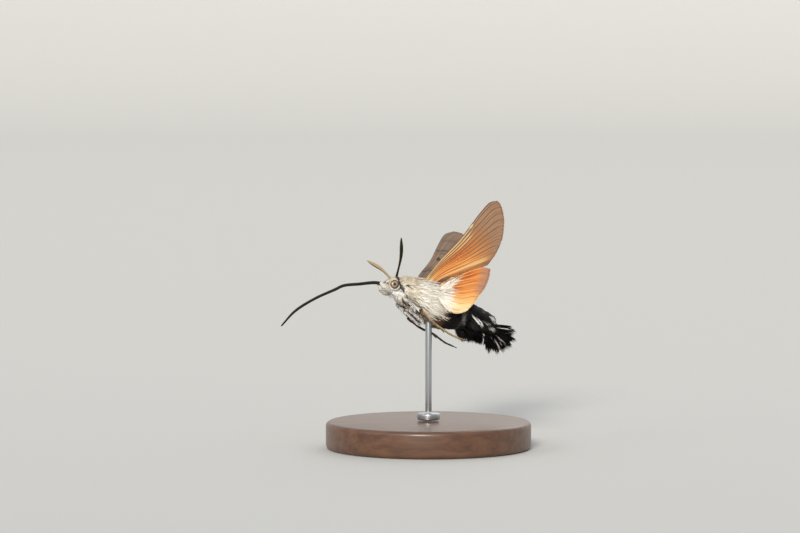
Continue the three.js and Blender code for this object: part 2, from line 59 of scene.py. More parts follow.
# Trunk and head, from tail to nose: place along, half width, top and bottom
BODY = np.array([
    [-15.2, 1.75, 2.1, -0.75],
    [-14.0, 2.3, 2.4, -1.1],
    [-12.0, 2.8, 2.6, -1.6],
    [-10.0, 3.1, 2.7, -2.2],
    [-8.0, 3.2, 2.9, -3.1],
    [-6.0, 3.25, 3.1, -3.8],
    [-3.5, 3.35, 3.35, -4.2],
    [-1.0, 3.5, 3.5, -4.35],
    [2.0, 3.1, 3.2, -3.45],
    [4.0, 2.5, 2.5, -2.8],
    [5.0, 2.05, 1.95, -2.3],
    [5.5, 1.85, 1.45, -2.15],
    [6.0, 1.95, 1.3, -2.15],
    [6.8, 1.9, 1.0, -2.0],
    [7.4, 1.55, 0.45, -1.75],
    [7.9, 1.05, -0.15, -1.45],
    [8.2, 0.6, -0.6, -1.25],
])
TAIL_END = -15.1
NOSE_END = 8.15
WAIST = -4.2

# How far the skin lies under the coat's tips, along the body
COAT_DEPTH = np.array([[-15, 0.2], [-5, 0.2], [-3, 0.38], [4, 0.36], [5.5, 0.2], [8, 0.12]])

# Steps of the skin round and along the body, and how much darker it is than the hair over it:
# painted shade under the coat
SKIN_GRID = (140, 320)
PAINTED_SKIN_SHADE = 0.7

# Where along the body each coat runs
COAT_RANGES = {
    "thorax": (-4.6, 5.6), "fold": (-4, 5.6), "head": (5.0, 8.1), "throat": (4.0, 6.8),
    "abdomen": (-15, WAIST),
}

# Ends of the abdomen's segments, from waist to tail, and how far each flares
SEGMENTS = [-4.2, -6.15, -8.1, -9.95, -11.8, -13.35, -14.9]
SEGMENT_SWELL = 0.16

EYE_CENTRE = np.array([6.6, 1.7, -1.0])
EYE_HALF_SIZE = np.array([1.08, 0.8, 1.1])

# The plane in which the markings of the head's side are drawn: its axes to the rear and to the top,
# the line behind the eye, which is dark scales with painted shadow of the antenna's base and of the
# gap between head and thorax, and small dark marks as rear, top and reach, from the eye's centre
SIDE_REAR = np.array([-0.8516, 0.4702, 0.232])
SIDE_TOP = np.array([0.4055, 0.3101, 0.8599])
EYE_SCALE_AND_SHADOW_LINE = [(0.3, 1.5), (0.62, 1.05), (0.95, 0.45), (1.17, -0.31), (1.6, -1.3)]
DARK_MARKS = [(1.4, -0.35, 0.5), (1.55, -0.8, 0.42), (2.5, -0.25, 0.4), (3.1, -0.8, 0.3)]

# Inner and outer edge of the eye's dark ring, and the reach of its dark spot
EYE_RING = (0.62, 0.84)
EYE_PUPIL = 0.3

# Brown patches of the face, as rear, top and reach
FACE_MARKS = [(-1.3, 0.0, 0.5), (-1.9, 0.5, 0.5), (-2.3, 0.0, 0.45), (-1.0, 1.3, 0.45)]

# Folds of the chest in the same plane, as dark lines of painted shade in the creases and the cream
# ones between them, each with its half width
CHEST_CREASE_SHADOWS = [
    ([(2.1, -1.9), (2.3, -2.9), (2.7, -4.1)], 0.15),
    ([(3.0, -4.0), (3.9, -4.9)], 0.12),
    ([(4.5, -5.0), (5.4, -6.0)], 0.3),
    ([(7.0, -3.4), (8.0, -4.6)], 0.13),
    ([(6.6, -5.4), (7.4, -6.4)], 0.14),
    ([(8.0, -5.6), (8.8, -6.8)], 0.2),
]
CREAM_LINES = [
    ([(2.4, -2.96), (3.3, -3.8), (4.31, -4.81)], 0.17),
    ([(5.18, -4.6), (5.9, -5.9), (6.8, -7.25)], 0.16),
    ([(6.9, -4.4), (8.2, -6.0)], 0.13),
]

# Pale spots of the abdomen and tail in the same plane: rear, top, half length, half width,
# slope in degrees, and paleness
PALE_SPOTS = [
    (15.36, -6.79, 0.85, 0.4, -45, 1.0),
    (17.0, -6.98, 0.55, 0.5, 0, 0.25),
    (17.6, -7.85, 0.6, 0.35, -20, 0.55),
    (18.2, -6.5, 0.6, 0.42, -40, 0.55),
    (20.0, -8.45, 0.9, 0.7, -45, 0.8),
    (19.7, -11.0, 1.0, 0.45, -58, 0.85),
    (18.4, -10.1, 0.35, 0.3, 0, 0.4),
    (12.9, -6.4, 1.5, 0.4, -88, 0.12),
    (16.4, -5.7, 0.6, 0.5, -45, 0.06),
]

# Limbs, as corners of their lines and half widths along them
PALP_LINE = [[6.2, 0.62, -2.0], [7.4, 0.66, -1.95], [8.4, 0.56, -1.65], [8.95, 0.42, -1.3]]
PALP_RADII = [0.35, 0.5, 0.45, 0.36, 0.16]

TONGUE_LINE = [
    [8.5, 0, -1.1], [10.1, 0, -1.73], [12.6, 0, -3.19], [15.6, 0, -4.95],
    [17, 0, -6.43], [20.35, 0, -9.94], [23.4, 0, -14], [25.2, 0, -18],
]
TONGUE_RADII = [0.32, 0.29, 0.27, 0.25, 0.25, 0.14]
TONGUE_RINGS = 150

ANTENNA_LINE = [[6.3, 0.9, 1.0], [7.675, 3.825, 3.65], [9.75, 6.75, 5.6]]
ANTENNA_RADII = [0.26, 0.2, 0.2, 0.23, 0.29, 0.34, 0.34, 0.26, 0.1]
ANTENNA_RINGS = 46

THIGHS = {
    "fore": [[3.4, 0.9, -2.6], [4.05, 1.3, -2.8]],
    "mid": [[1.2, 0.75, -3.6], [2.5, 0.85, -3.85]],
    "hind": [[-1.5, 1.3, -3.8], [-0.3, 2.1, -4.35], [0.7, 2.5, -3.85]],
}
SHANKS = {
    "fore": [[4.05, 1.3, -2.8], [3.2, 1.75, -3.05], [2.2, 1.8, -3.55], [1.2, 1.5, -4.15]],
    "mid": [[2.5, 0.85, -3.85], [1.6, 0.8, -4.25], [0, 0.75, -4.85], [-1.3, 0.7, -5.25]],
    "hind": [
        [0.7, 2.5, -3.85], [-2.2, 2.1, -4.95], [-4.7, 1.65, -5.2],
        [-7.5, 1.85, -5.65], [-10.3, 2.1, -5.5],
    ],
}
THIGH_RADII = [0.42, 0.4, 0.36]
SHANK_RADII = [0.27, 0.22, 0.18, 0.15, 0.08]
SPUR_PLACES = [0.36, 0.49]
SPUR_LENGTH = 1.2
SPUR_RADII = [0.16, 0.14, 0.04]

# How the cream of the hind legs and of their scales is darkened, for red, green and blue
HIND_TONE = (0.68, 0.54, 0.4)
HIND_SCALE_TONE = (0.74, 0.6, 0.45)

# Wings: root, sweep and stroke angles, twist at root and tip, and the outline in the wing's own
# plane, along the span and back from the leading edge. Each vein has its share of the chord at the
# root and at the margin, and the share of the span where it starts.
FOREWING = {
    "root": [0.8, 2.5, 1.5],
    "twist": [8, 26],
    "length": 21.8,
    "costa": [[0.2, -0.8], [5.4, -1.1], [10.9, -1], [17.3, -1.65], [20.5, -1.7], [22.1, -0.7]],
    "margin": [[22.1, -0.7], [22.3, 0.8], [21.4, 3.4], [19.1, 5.8], [16.2, 6.85], [13.05, 7.1]],
    "dorsum": [[0.1, 1.3], [2.4, 1.4], [6.2, 3.2], [10.1, 5.4], [13.05, 7.1]],
    "camber": 0.35,
    "chords": [2.1, 11.9],
    "veins": [
        (0.1, 0.05, 0), (0.17, 0.13, 0), (0.24, 0.22, 0), (0.31, 0.31, 0), (0.4, 0.4, 0.45),
        (0.46, 0.48, 0.45), (0.52, 0.57, 0.45), (0.62, 0.66, 0), (0.74, 0.78, 0), (0.86, 0.91, 0),
    ],
    "sides": {"left": (22.6, 81), "right": (21.6, 70)},
}
HINDWING = {
    "root": [-1.5, 3.55, 1.2],
    "twist": [-10, -4],
    "length": 13,
    "costa": [[0.3, -0.3], [3.5, -0.9], [7.5, -0.95], [10.8, -0.7], [12.25, 0.1]],
    "margin": [[12.25, 0.1], [10.65, 1.8], [8.45, 3.3], [6.5, 4.1], [5.45, 4.75], [2.5, 5.9]],
    "dorsum": [[-1.5, 1.6], [-1.35, 3.4], [-0.4, 4.95], [0.6, 5.65], [2.5, 5.9]],
    "camber": 0.2,
    "chords": [2.6, 11.4],
    "veins": [
        (0.14, 0.1, 0), (0.26, 0.24, 0), (0.38, 0.37, 0.35), (0.48, 0.5, 0.35),
        (0.6, 0.63, 0), (0.73, 0.76, 0), (0.86, 0.89, 0),
    ],
    "sides": {"left": (45.6, 92), "right": (45.6, 82)},
}
WING_HALF_THICKNESS = 0.05
VEIN_RISE = 0.05
VEIN_HALF_WIDTH = 0.13
VEIN_SPREAD = (0.1, 0.75)
WING_COLUMNS_PER_MM = 9
WING_ROWS = 96

# Rows of scales along a wing's span and chord, the share of the fringe that is on the outer margin,
# and where along the span it starts on the trailing edge
SCALE_ROWS = (110, 42, 1)
FRINGE_ON_MARGIN = 0.62
FRINGE_START = 0.35

# Markings of the wings as shares of span and chord: where the taupe begins along the forewing's
# chord, how far the hindwing's white root reaches, spots as centre and reach, and the upper side's
# cross lines as place, reach and strength
TAUPE_EDGE = ([0, 0.1, 0.3, 0.5, 0.7, 0.85, 1], [0.5, 0.56, 0.64, 0.72, 0.8, 0.9, 0.97])
WHITE_REACH = ([0, 0.25, 0.5, 0.75, 1], [0.2, 0.24, 0.34, 0.46, 0.6])
FRONT_SPOT = (0.645, 0.02, 0.035, 0.035)
UPPER_SPOT = (0.53, 0.16, 0.035, 0.06)
CROSS_LINES = [
    (0.12, 0.03, 0.6), (0.3, 0.034, 0.95), (0.345, 0.016, 0.6), (0.6, 0.018, 0.6),
    (0.65, 0.026, 0.8), (0.82, 0.04, 0.35),
]

# Hair at the wings' roots: count, shares of span and of chord, length, share that is dark, lean
# to the leading edge, and the colour of the rest
ROOT_HAIR = {
    "forewing": [(110, (0.0, 0.05), (0.1, 1.0), 0.9, 0.1, 0.0, "cream")],
    "hindwing": [
        (560, (0.0, 0.3), (0.08, 1.0), 2.3, 0.05, 0.0, "white"),
        (190, (0.06, 0.46), (0.0, 0.16), 1.0, 0.5, 0.2, "gold"),
        (220, (0.0, 0.26), (0.0, 0.07), 1.0, 0.5, 0.6, "cream"),
    ],
}

# Tail brush: its root, droop and half spread in degrees, reach in the middle and at the sides,
# half thickness at root and tips, and the half sizes of the core under it
BRUSH_ROOT = np.array([-14.6, 0, 0.6])
BRUSH_DROOP = 35
BRUSH_SPREAD = 64
BRUSH_REACH = (5.6, 7.0)
BRUSH_DEPTH = (0.62, 0.75)
BRUSH_CLUMPS = 19
BRUSH_CORE = (2.6, 1.9, 0.6)
BRUSH_CORE_SHIFT = 0.9

# Side tufts: places of their rows along the body, the way they lie, and degrees between tufts
TUFT_ROWS = [-9.7, -11.2, -12.4, -13.0]
TUFT_LIE = np.array([-0.62, 0.45, -0.62])
TUFT_STEP = 14

# How many locks each piece or row has; of those for a fold, only the near ones are kept
LOCK_COUNTS = {
    "fold": 9000, "head": 7500, "throat": 1300, "orbit": 900, "palp": 1600, "abdomen": 11500,
    "wing_root": 1500, "brush": 5200, "tuft": 420, "shank": 380, "fringe": 900,
}

# Display stand
BASE_RADIUS = 19
BASE_THICKNESS = 5
BASE_CHAMFER = 0.8
COLLAR_RADIUS = 2.1
COLLAR_ENDS = (5.3, 6.5)
COLLAR_ROUNDING = 0.25
ROD_RADIUS = 0.6
ROD_ENDS = (6.8, 23.6)
ROD_ROUNDING = 0.08
WALNUT_LINES = 1.2

# The stage: floor sizes in metres, the camera's place in millimetres and its tilt in degrees, and
# the suns as name, direction, softness in degrees, strength and colour
FLOOR_RADIUS, FLOOR_BEND, WALL_HEIGHT = 2.2, 0.8, 0.85
BEND_STEPS = 12
CAMERA_PLACE = (-5.27, -818.2, 90.9)
CAMERA_TILT = 86
CAMERA_LENS = 200
SKY = (0.92, 0.96, 1, 1)
SKY_STRENGTH = 0.68
SUNS = [
    ("key", (-0.2, -1.0, 0.5), 14, 3.0, (1, 0.95, 0.86)),
    ("fill", (-0.85, -0.4, 0.42), 30, 0.5, (1, 1, 1)),
    ("rim", (0.3, 0.8, 0.6), 40, 0.6, (1, 1, 1)),
]

# A lock: shares of its length, its width there, its faces, the edges that stay crisp, and the
# size of its patch on the unwrap
LOCK_STATIONS = np.array([0.0, 0.38, 0.74])
LOCK_TAPER = np.array([0.7, 1.0, 0.6])
LOCK_FACES = [
    (0, 1, 2),
    (0, 3, 4, 1), (1, 4, 5, 2), (2, 5, 3, 0),
    (3, 6, 7, 4), (4, 7, 8, 5), (5, 8, 6, 3),
    (6, 9, 7), (7, 9, 8), (8, 9, 6),
]
LOCK_RIMS = [(0, 3), (3, 6), (6, 9), (1, 4), (4, 7), (7, 9)]
PATCH_SIZE = 0.003

SIDES = ("left", "right")

chance = np.random.default_rng(7)


def linear(hex_colour):
    """A linear colour, 0 to 1, from an sRGB hex value."""
    parts = [int(hex_colour[i:i + 2], 16) / 255 for i in (1, 3, 5)]
    return tuple(p / 12.92 if p <= 0.04045 else ((p + 0.055) / 1.055) ** 2.4 for p in parts)


def colour_property(name, description, hex_colour):
    """A colour that the user may change."""
    return bpy.props.FloatVectorProperty(
        name=name, description=description, subtype="COLOR", min=0, max=1,
        default=linear(hex_colour),
    )


class MothCoatSettings(bpy.types.PropertyGroup):
    """Colours and sizes of the body's coat."""

    cream: colour_property("Cream", "Flanks, throat and palps", "#D9CFBC")
    grey: colour_property("Grey", "Back of head and thorax", "#C8BBA6")
    brown: colour_property("Brown", "Belly of the thorax", "#6F5234")
    black: colour_property("Black", "Abdomen and tail brush", "#0B0908")
    # Blue-black: a sheen painted on top of the abdomen's black hump
    sheen: colour_property("Blue-black", "Hump of the abdomen", "#252430")
    band: colour_property("Band", "Grey bands of the abdomen", "#4A4644")
    white: colour_property("White", "Tufts of the abdomen", "#FCFBF8")
    # Line: dark scales and painted shadow behind the eye, in the gap between head and thorax
    line: colour_property("Line", "Dark line behind the eye", "#1B1613")
    hair_length: bpy.props.FloatProperty(
        name="Hair length", description="Longest hair of the thorax", default=1.9 * MM,
        min=0.5 * MM, max=3 * MM, unit="LENGTH",
    )
    hair_width: bpy.props.FloatProperty(
        name="Hair width", description="Width of one tuft of the thorax", default=0.2 * MM,
        min=0.05 * MM, max=0.5 * MM, unit="LENGTH",
    )
    hairs: bpy.props.IntProperty(
        name="Hairs", description="Tufts on each side of the thorax", default=11000,
        min=1000, max=12000,
    )


class MothWingSettings(bpy.types.PropertyGroup):
    """Colours of the wings."""

    taupe: colour_property("Taupe", "Outer third of the forewing's underside", "#A67E60")
    gold: colour_property("Gold", "Golden part of both wings", "#EBAC62")
    orange: colour_property("Orange", "Middle of both wings", "#DC863F")
    rust: colour_property("Rust", "Deepest orange, between the veins", "#A9501F")
    cream: colour_property("Cream", "Streaks of the leading edge and inner lobe", "#F5DFAA")
    white: colour_property("White", "Root of the hindwing", "#FBF6EA")
    vein: colour_property("Vein", "Vein lines", "#5F4230")
    border: colour_property("Border", "Outer border of the hindwing", "#A87C64")
    upper: colour_property("Upper side", "Upper side of the forewing", "#7C6553")
    marking: colour_property("Marking", "Cross lines of the forewing", "#463830")


class MothPartSettings(bpy.types.PropertyGroup):
    """Colours of the eyes, feelers and stand."""

    iris: colour_property("Eye", "Main colour of the eye", "#A48A70")
    ring: colour_property("Eye ring", "Ring round the eye", "#33211A")
    pupil: colour_property("Pupil", "Dark spot of the eye", "#120A07")
    # The antennae's two sides are painted light and shade: the outer side dark as shaded, the inner
    # side pale as lit
    horn: colour_property("Horn", "Tongue and outer side of the antennae", "#1F1D15")
    antenna: colour_property("Antenna", "Inner side of the antennae", "#A98F6C")
    wood_dark: colour_property("Dark grain", "Dark grain of the walnut base", "#2A180E")
    wood_light: colour_property("Light grain", "Light grain of the walnut base", "#79523A")
    steel: colour_property("Steel", "Rod and collar", "#B9BCC0")
    floor: colour_property("Floor", "Floor and backdrop", "#C3C2BF")


def smooth(low, high, value):
    """0 below low, 1 above high and a smooth rise between them."""
    share = np.clip((value - low) / (high - low), 0, 1)
    return share * share * (3 - 2 * share)


def mix(first, second, share):
    """Colours or places between two, by a share for each row."""
    share = np.asarray(share)[..., None]
    return np.asarray(first) * (1 - share) + np.asarray(second) * share


def toned(colour, factor):
    """A colour times a number, or times one number for each channel."""
    return np.array(colour) * factor


def layered(colour, layers):
    """Lays shades over a colour in turn, each by its share for each row."""
    for shade, share in layers:
        colour = mix(colour, shade, share)
    return colour


def bump_at(value, middle, half_width):
    """1 at the middle and 0 from half_width away."""
    return 1 - smooth(0, half_width, np.abs(value - middle))


def unit(rows):
    """Rows scaled to length 1."""
    return rows / np.linalg.norm(rows, axis=-1, keepdims=True)


def across(rows, axis):
    """The part of each row that is square to its axis, at length 1."""
    return unit(rows - axis * np.sum(rows * axis, axis=-1, keepdims=True))


def noise_at(points, size, seed=0.0):
    """Smooth noise from -1 to 1 in lumps of about that size."""
    return np.array([noise.noise(Vector(p)) for p in points / size + seed])


def to_stand(points):
    """Places in the moth's frame, in millimetres, to places over the stand, in metres."""
    return (points @ MOTH_AXES.T + MOTH_PLACE) * MM


def mirrored(points, side):
    """Places of the left side, or their mirror image for the right one."""
    return np.asarray(points, float) * (1, 1 if side == "left" else -1, 1)


def table_at(table, places):
    """Smooth values between the rows of a table, whose first column is the place."""
    keys = table[:, 0]
    slopes = np.gradient(table[:, 1:], keys, axis=0)
    row = np.clip(np.searchsorted(keys, places) - 1, 0, len(keys) - 2)
    step = (keys[row + 1] - keys[row])[:, None]
    t = np.clip((places - keys[row])[:, None] / step, 0, 1)
    before, after = table[row, 1:], table[row + 1, 1:]
    return (
        before * (1 + 2 * t) * (1 - t) ** 2 + after * t * t * (3 - 2 * t)
        + step * t * (1 - t) * (slopes[row] * (1 - t) - slopes[row + 1] * t)
    )


def flat_line(points):
    """A smooth line in the wing's plane, read by its share of length."""
    p = np.array(points, float)
    last = len(p) - 1
    t = np.linspace(0, 1, 401) * last
    i = np.minimum(t.astype(int), last - 1)
    w = (t - i)[:, None]
    before, start, end, after = p[np.maximum(i - 1, 0)], p[i], p[i + 1], p[np.minimum(i + 2, last)]
    lean_in, lean_out = (end - before) / 2, (after - start) / 2
    line = (
        (2 * start - 2 * end + lean_in + lean_out) * w ** 3
        + (3 * end - 3 * start - 2 * lean_in - lean_out) * w ** 2 + lean_in * w + start
    )
    return by_length(line)


def by_length(line):
    """Reads a dense row of points by the share of its length."""
    steps = np.linalg.norm(np.diff(line, axis=0), axis=1)
    shares = np.concatenate([[0], np.cumsum(steps)]) / steps.sum()
    return lambda share: np.stack([np.interp(share, shares, column) for column in line.T], -1)


def limb_line(points):
    """A smooth line through places in space, read by its share of length."""
    p = np.array(points, float)
    p = np.vstack([2 * p[0] - p[1], p, 2 * p[-1] - p[-2]])
    knots = np.linalg.norm(np.diff(p, axis=0), axis=1) ** 0.5
    line = []
    for i in range(1, len(p) - 2):
        back, here, on = knots[i - 1], knots[i], knots[i + 1]
        a, b, c, d = p[i - 1:i + 3]
        lean_in = ((b - a) / back - (c - a) / (back + here) + (c - b) / here) * here
        lean_out = ((c - b) / here - (d - b) / (here + on) + (d - c) / on) * here
        for t in np.linspace(0, 1, 60, endpoint=i == len(p) - 3):
            line.append(
                b + lean_in * t + (3 * c - 3 * b - 2 * lean_in - lean_out) * t ** 2
                + (2 * b - 2 * c + lean_in + lean_out) * t ** 3
            )
    return by_length(np.array(line))


def add_node(tree, kind, settings=None, inputs=None):
    """Adds one node. An input is a value, or another node's output to link."""
    made = tree.nodes.new(kind)
    for name, value in (settings or {}).items():
        setattr(made, name, value)
    for name, value in (inputs or {}).items():
        if isinstance(value, bpy.types.NodeSocket):
            tree.links.new(value, made.inputs[name])
        else:
            made.inputs[name].default_value = value
    return made


def new_material(name):
    """An empty material and its node tree."""
    material = bpy.data.materials.new(name)
    material.use_nodes = True
    material.node_tree.nodes.clear()
    return material, material.node_tree


def add_grain(tree, place, scale, detail, distortion=0.0):
    """Lumps of noise over a place, drawn out by a scale for each axis."""
    mapping = add_node(tree, "ShaderNodeMapping", inputs={"Vector": place, "Scale": scale})
    grain = add_node(
        tree, "ShaderNodeTexNoise",
        inputs={"Vector": mapping.outputs["Vector"], "Scale": 1.0, "Detail": detail,
                "Distortion": distortion},
    )
    return grain.outputs["Fac"]


def close_material(tree, inputs):
    """Gives a material its surface, from the shader's inputs."""
    shader = add_node(tree, "ShaderNodeBsdfPrincipled", inputs=inputs)
    add_node(tree, "ShaderNodeOutputMaterial", inputs={"Surface": shader.outputs["BSDF"]})


def painted_material(name, roughness, sheen, bump, lump_mm=None, rows=None):
    """Scales or hair in the piece's own colours, with a fine grain: lumps of that size, or rows
    on a wing's own map."""
    material, tree = new_material(name)
    paint = add_node(tree, "ShaderNodeAttribute", {"attribute_name": "coat_colour"})
    if rows:
        place = add_node(tree, "ShaderNodeUVMap", {"uv_map": "surface"}).outputs["UV"]
    else:
        place = add_node(tree, "ShaderNodeTexCoord").outputs["Object"]
    grain = add_grain(tree, place, rows or [1 / (lump_mm * MM)] * 3, 3.0)
    tone = add_node(
        tree, "ShaderNodeMapRange", inputs={"Value": grain, "To Min": 0.72, "To Max": 1.28},
    )
    colour = add_node(
        tree, "ShaderNodeVectorMath", {"operation": "SCALE"},
        {"Vector": paint.outputs["Color"], "Scale": tone.outputs["Result"]},
    )
    relief = add_node(
        tree, "ShaderNodeBump",
        inputs={"Height": grain, "Strength": bump, "Distance": 0.05 * MM},
    )
    close_material(tree, {
        "Base Color": colour.outputs["Vector"], "Roughness": roughness,
        "Sheen Weight": sheen, "Sheen Roughness": 0.5, "Specular IOR Level": 0.18,
        "Normal": relief.outputs["Normal"],
    })
    return material


def add_object(mesh, material, slot, replaced=()):
    """Puts a finished mesh in the scene, on the model's one body."""
    piece = bpy.data.objects.new(mesh.name, mesh)
    bpy.context.scene.collection.objects.link(piece)
    mesh.materials.clear()
    mesh.materials.append(material)
    mesh.shade_smooth()
    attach(piece, "root")
    if replaced:
        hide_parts(*replaced)
    return piece


def read_places(mesh):
    """The mesh's points as rows."""
    places = np.empty(len(mesh.vertices) * 3, np.float32)
    mesh.vertices.foreach_get("co", places)
    return places.reshape(-1, 3).astype(float)


def paint(mesh, colours):
    """Stores a colour at each point."""
    layer = mesh.color_attributes.new("coat_colour", "FLOAT_COLOR", "POINT")
    rows = np.ones((len(mesh.vertices), 4), np.float32)
    rows[:, :3] = colours
    layer.data.foreach_set("color", rows.ravel())


def finished_mesh(name, work):
    """The mesh of a bmesh that is done."""
    mesh = bpy.data.meshes.new(name)
    work.to_mesh(mesh)
    work.free()
    return mesh


def formed_mesh(name, columns, rows, shape, faces=(1,)):
    """Flat grids over 0 to 1, which shape moves and colours; points that meet are merged."""
    work = bmesh.new()
    work.loops.layers.uv.new("surface")
    for face in faces:
        bmesh.ops.create_grid(
            work, x_segments=columns, y_segments=rows, size=0.5,
            matrix=Matrix.Translation((0.5, 0.5, face)), calc_uvs=True,
        )
    mesh = bpy.data.meshes.new(name)
    work.to_mesh(mesh)
    flat = read_places(mesh)
    places, colours = shape(flat[:, 0], flat[:, 1], flat[:, 2])
    mesh.vertices.foreach_set("co", to_stand(places).astype(np.float32).ravel())
    paint(mesh, colours)
    work.clear()
    work.from_mesh(mesh)
    bmesh.ops.remove_doubles(work, verts=work.verts, dist=0.002 * MM)
    bmesh.ops.recalc_face_normals(work, faces=work.faces)
    work.to_mesh(mesh)
    work.free()
    return mesh


def round_end(share, front=0.02, rear=0.02):
    """1 along a limb, and down to 0 over a short rounding at each end."""
    near = np.minimum(np.minimum(share / front, (1 - share) / rear), 1)
    return np.sqrt(np.clip(1 - (1 - near) ** 2, 0, 1))


def limb_ring(curve, share, turn, ahead, behind, reference):
    """The way along a limb at each share of it, and the way out of it at each turn round it."""
    tangent = unit(curve(np.clip(share + ahead, 0, 1)) - curve(np.clip(share - behind, 0, 1)))
    side = unit(np.cross(tangent, reference))
    turn = turn[:, None]
    return tangent, side * np.cos(turn) + np.cross(side, tangent) * np.sin(turn)


def limb_radius(share, radii):
    """A limb's half width at each share of its length."""
    return np.interp(share, np.linspace(0, 1, len(radii)), radii)


def tube_mesh(name, line, radii, colour, around=24, along=120, reference=(0, 1, 0), ribs=None):
    """A limb along a line. colour gives the paint from the share along and the outward side."""
    curve = limb_line(line)

    def shape(u, v, _):
        out = limb_ring(curve, v, u * math.tau, 0.004, 0.004, reference)[1]
        radius = limb_radius(v, radii) * round_end(v)
        if ribs:
            radius = radius * (1 + ribs(v))
        return curve(v) + out * radius[:, None], colour(v, out)

    return formed_mesh(name, around, along, shape)


def body_surface(x, angle, sunk=0.0):
    """A place on trunk or head. The angle runs from the left side up over the back."""
    half_width, top, bottom = table_at(BODY, x).T
    swell = np.zeros_like(x)
    for front, rear in zip(SEGMENTS, SEGMENTS[1:]):
        share = (front - x) / (front - rear)
        inside = (share > 0) & (share <= 1)
        swell = np.where(inside, SEGMENT_SWELL * smooth(0, 0.6, share), swell)
    grow = swell - sunk
    end = np.minimum(np.minimum((x - TAIL_END) / 0.7, (NOSE_END - x) / 0.5), 1)
    ends = np.sqrt(np.clip(1 - (1 - end) ** 2, 0, 1))
    y = (half_width + grow) * ends * np.cos(angle)
    z = (top + bottom) / 2 + ((top - bottom) / 2 + grow) * ends * np.sin(angle)
    return np.stack([x, y, z], -1)


def body_frame(x, angle, sunk=0.0):
    """Places on trunk or head, the way out of it there and the way back along it."""
    step = 0.03
    place = body_surface(x, angle, sunk)
    back = unit(body_surface(x - step, angle, sunk) - body_surface(x + step, angle, sunk))
    round_ = body_surface(x, angle + step, sunk) - body_surface(x, angle - step, sunk)
    out = unit(np.cross(round_, back))
    centre = place * (1, 0, 0)
    out *= np.sign(np.sum(out * (place - centre), -1, keepdims=True))
    return place, out, back


def side_plane(places):
    """Distances to the rear of the eye's centre and above it, alike on both sides."""
    left = places.copy()
    left[:, 1] = np.abs(left[:, 1])
    away = left - EYE_CENTRE
    return away @ SIDE_REAR, away @ SIDE_TOP


def line_distance(first, second, corners):
    """Distance of points in a plane from a line through corners."""
    points = np.stack([first, second], -1)
    nearest = np.full(len(points), np.inf)
    for start, end in zip(np.array(corners), np.array(corners)[1:]):
        run = end - start
        share = np.clip((points - start) @ run / (run @ run), 0, 1)
        away = np.linalg.norm(points - start - share[:, None] * run, axis=1)
        nearest = np.minimum(nearest, away)
    return nearest


def paleness_at(places):
    """How pale the abdomen's and tail's spots are at each place."""
    rear, top = side_plane(places)
    found = np.zeros(len(places))
    for spot_rear, spot_top, half_length, half_width, slope, paleness in PALE_SPOTS:
        turn = math.radians(slope)
        run = (rear - spot_rear) * math.cos(turn) + (top - spot_top) * math.sin(turn)
        beside = (top - spot_top) * math.cos(turn) - (rear - spot_rear) * math.sin(turn)
        away = np.hypot(run / half_length, beside / half_width)
        found = np.maximum(found, paleness * (1 - smooth(0.7, 1.15, away)))
    return found * smooth(0.1, 0.6, np.abs(places[:, 1]))


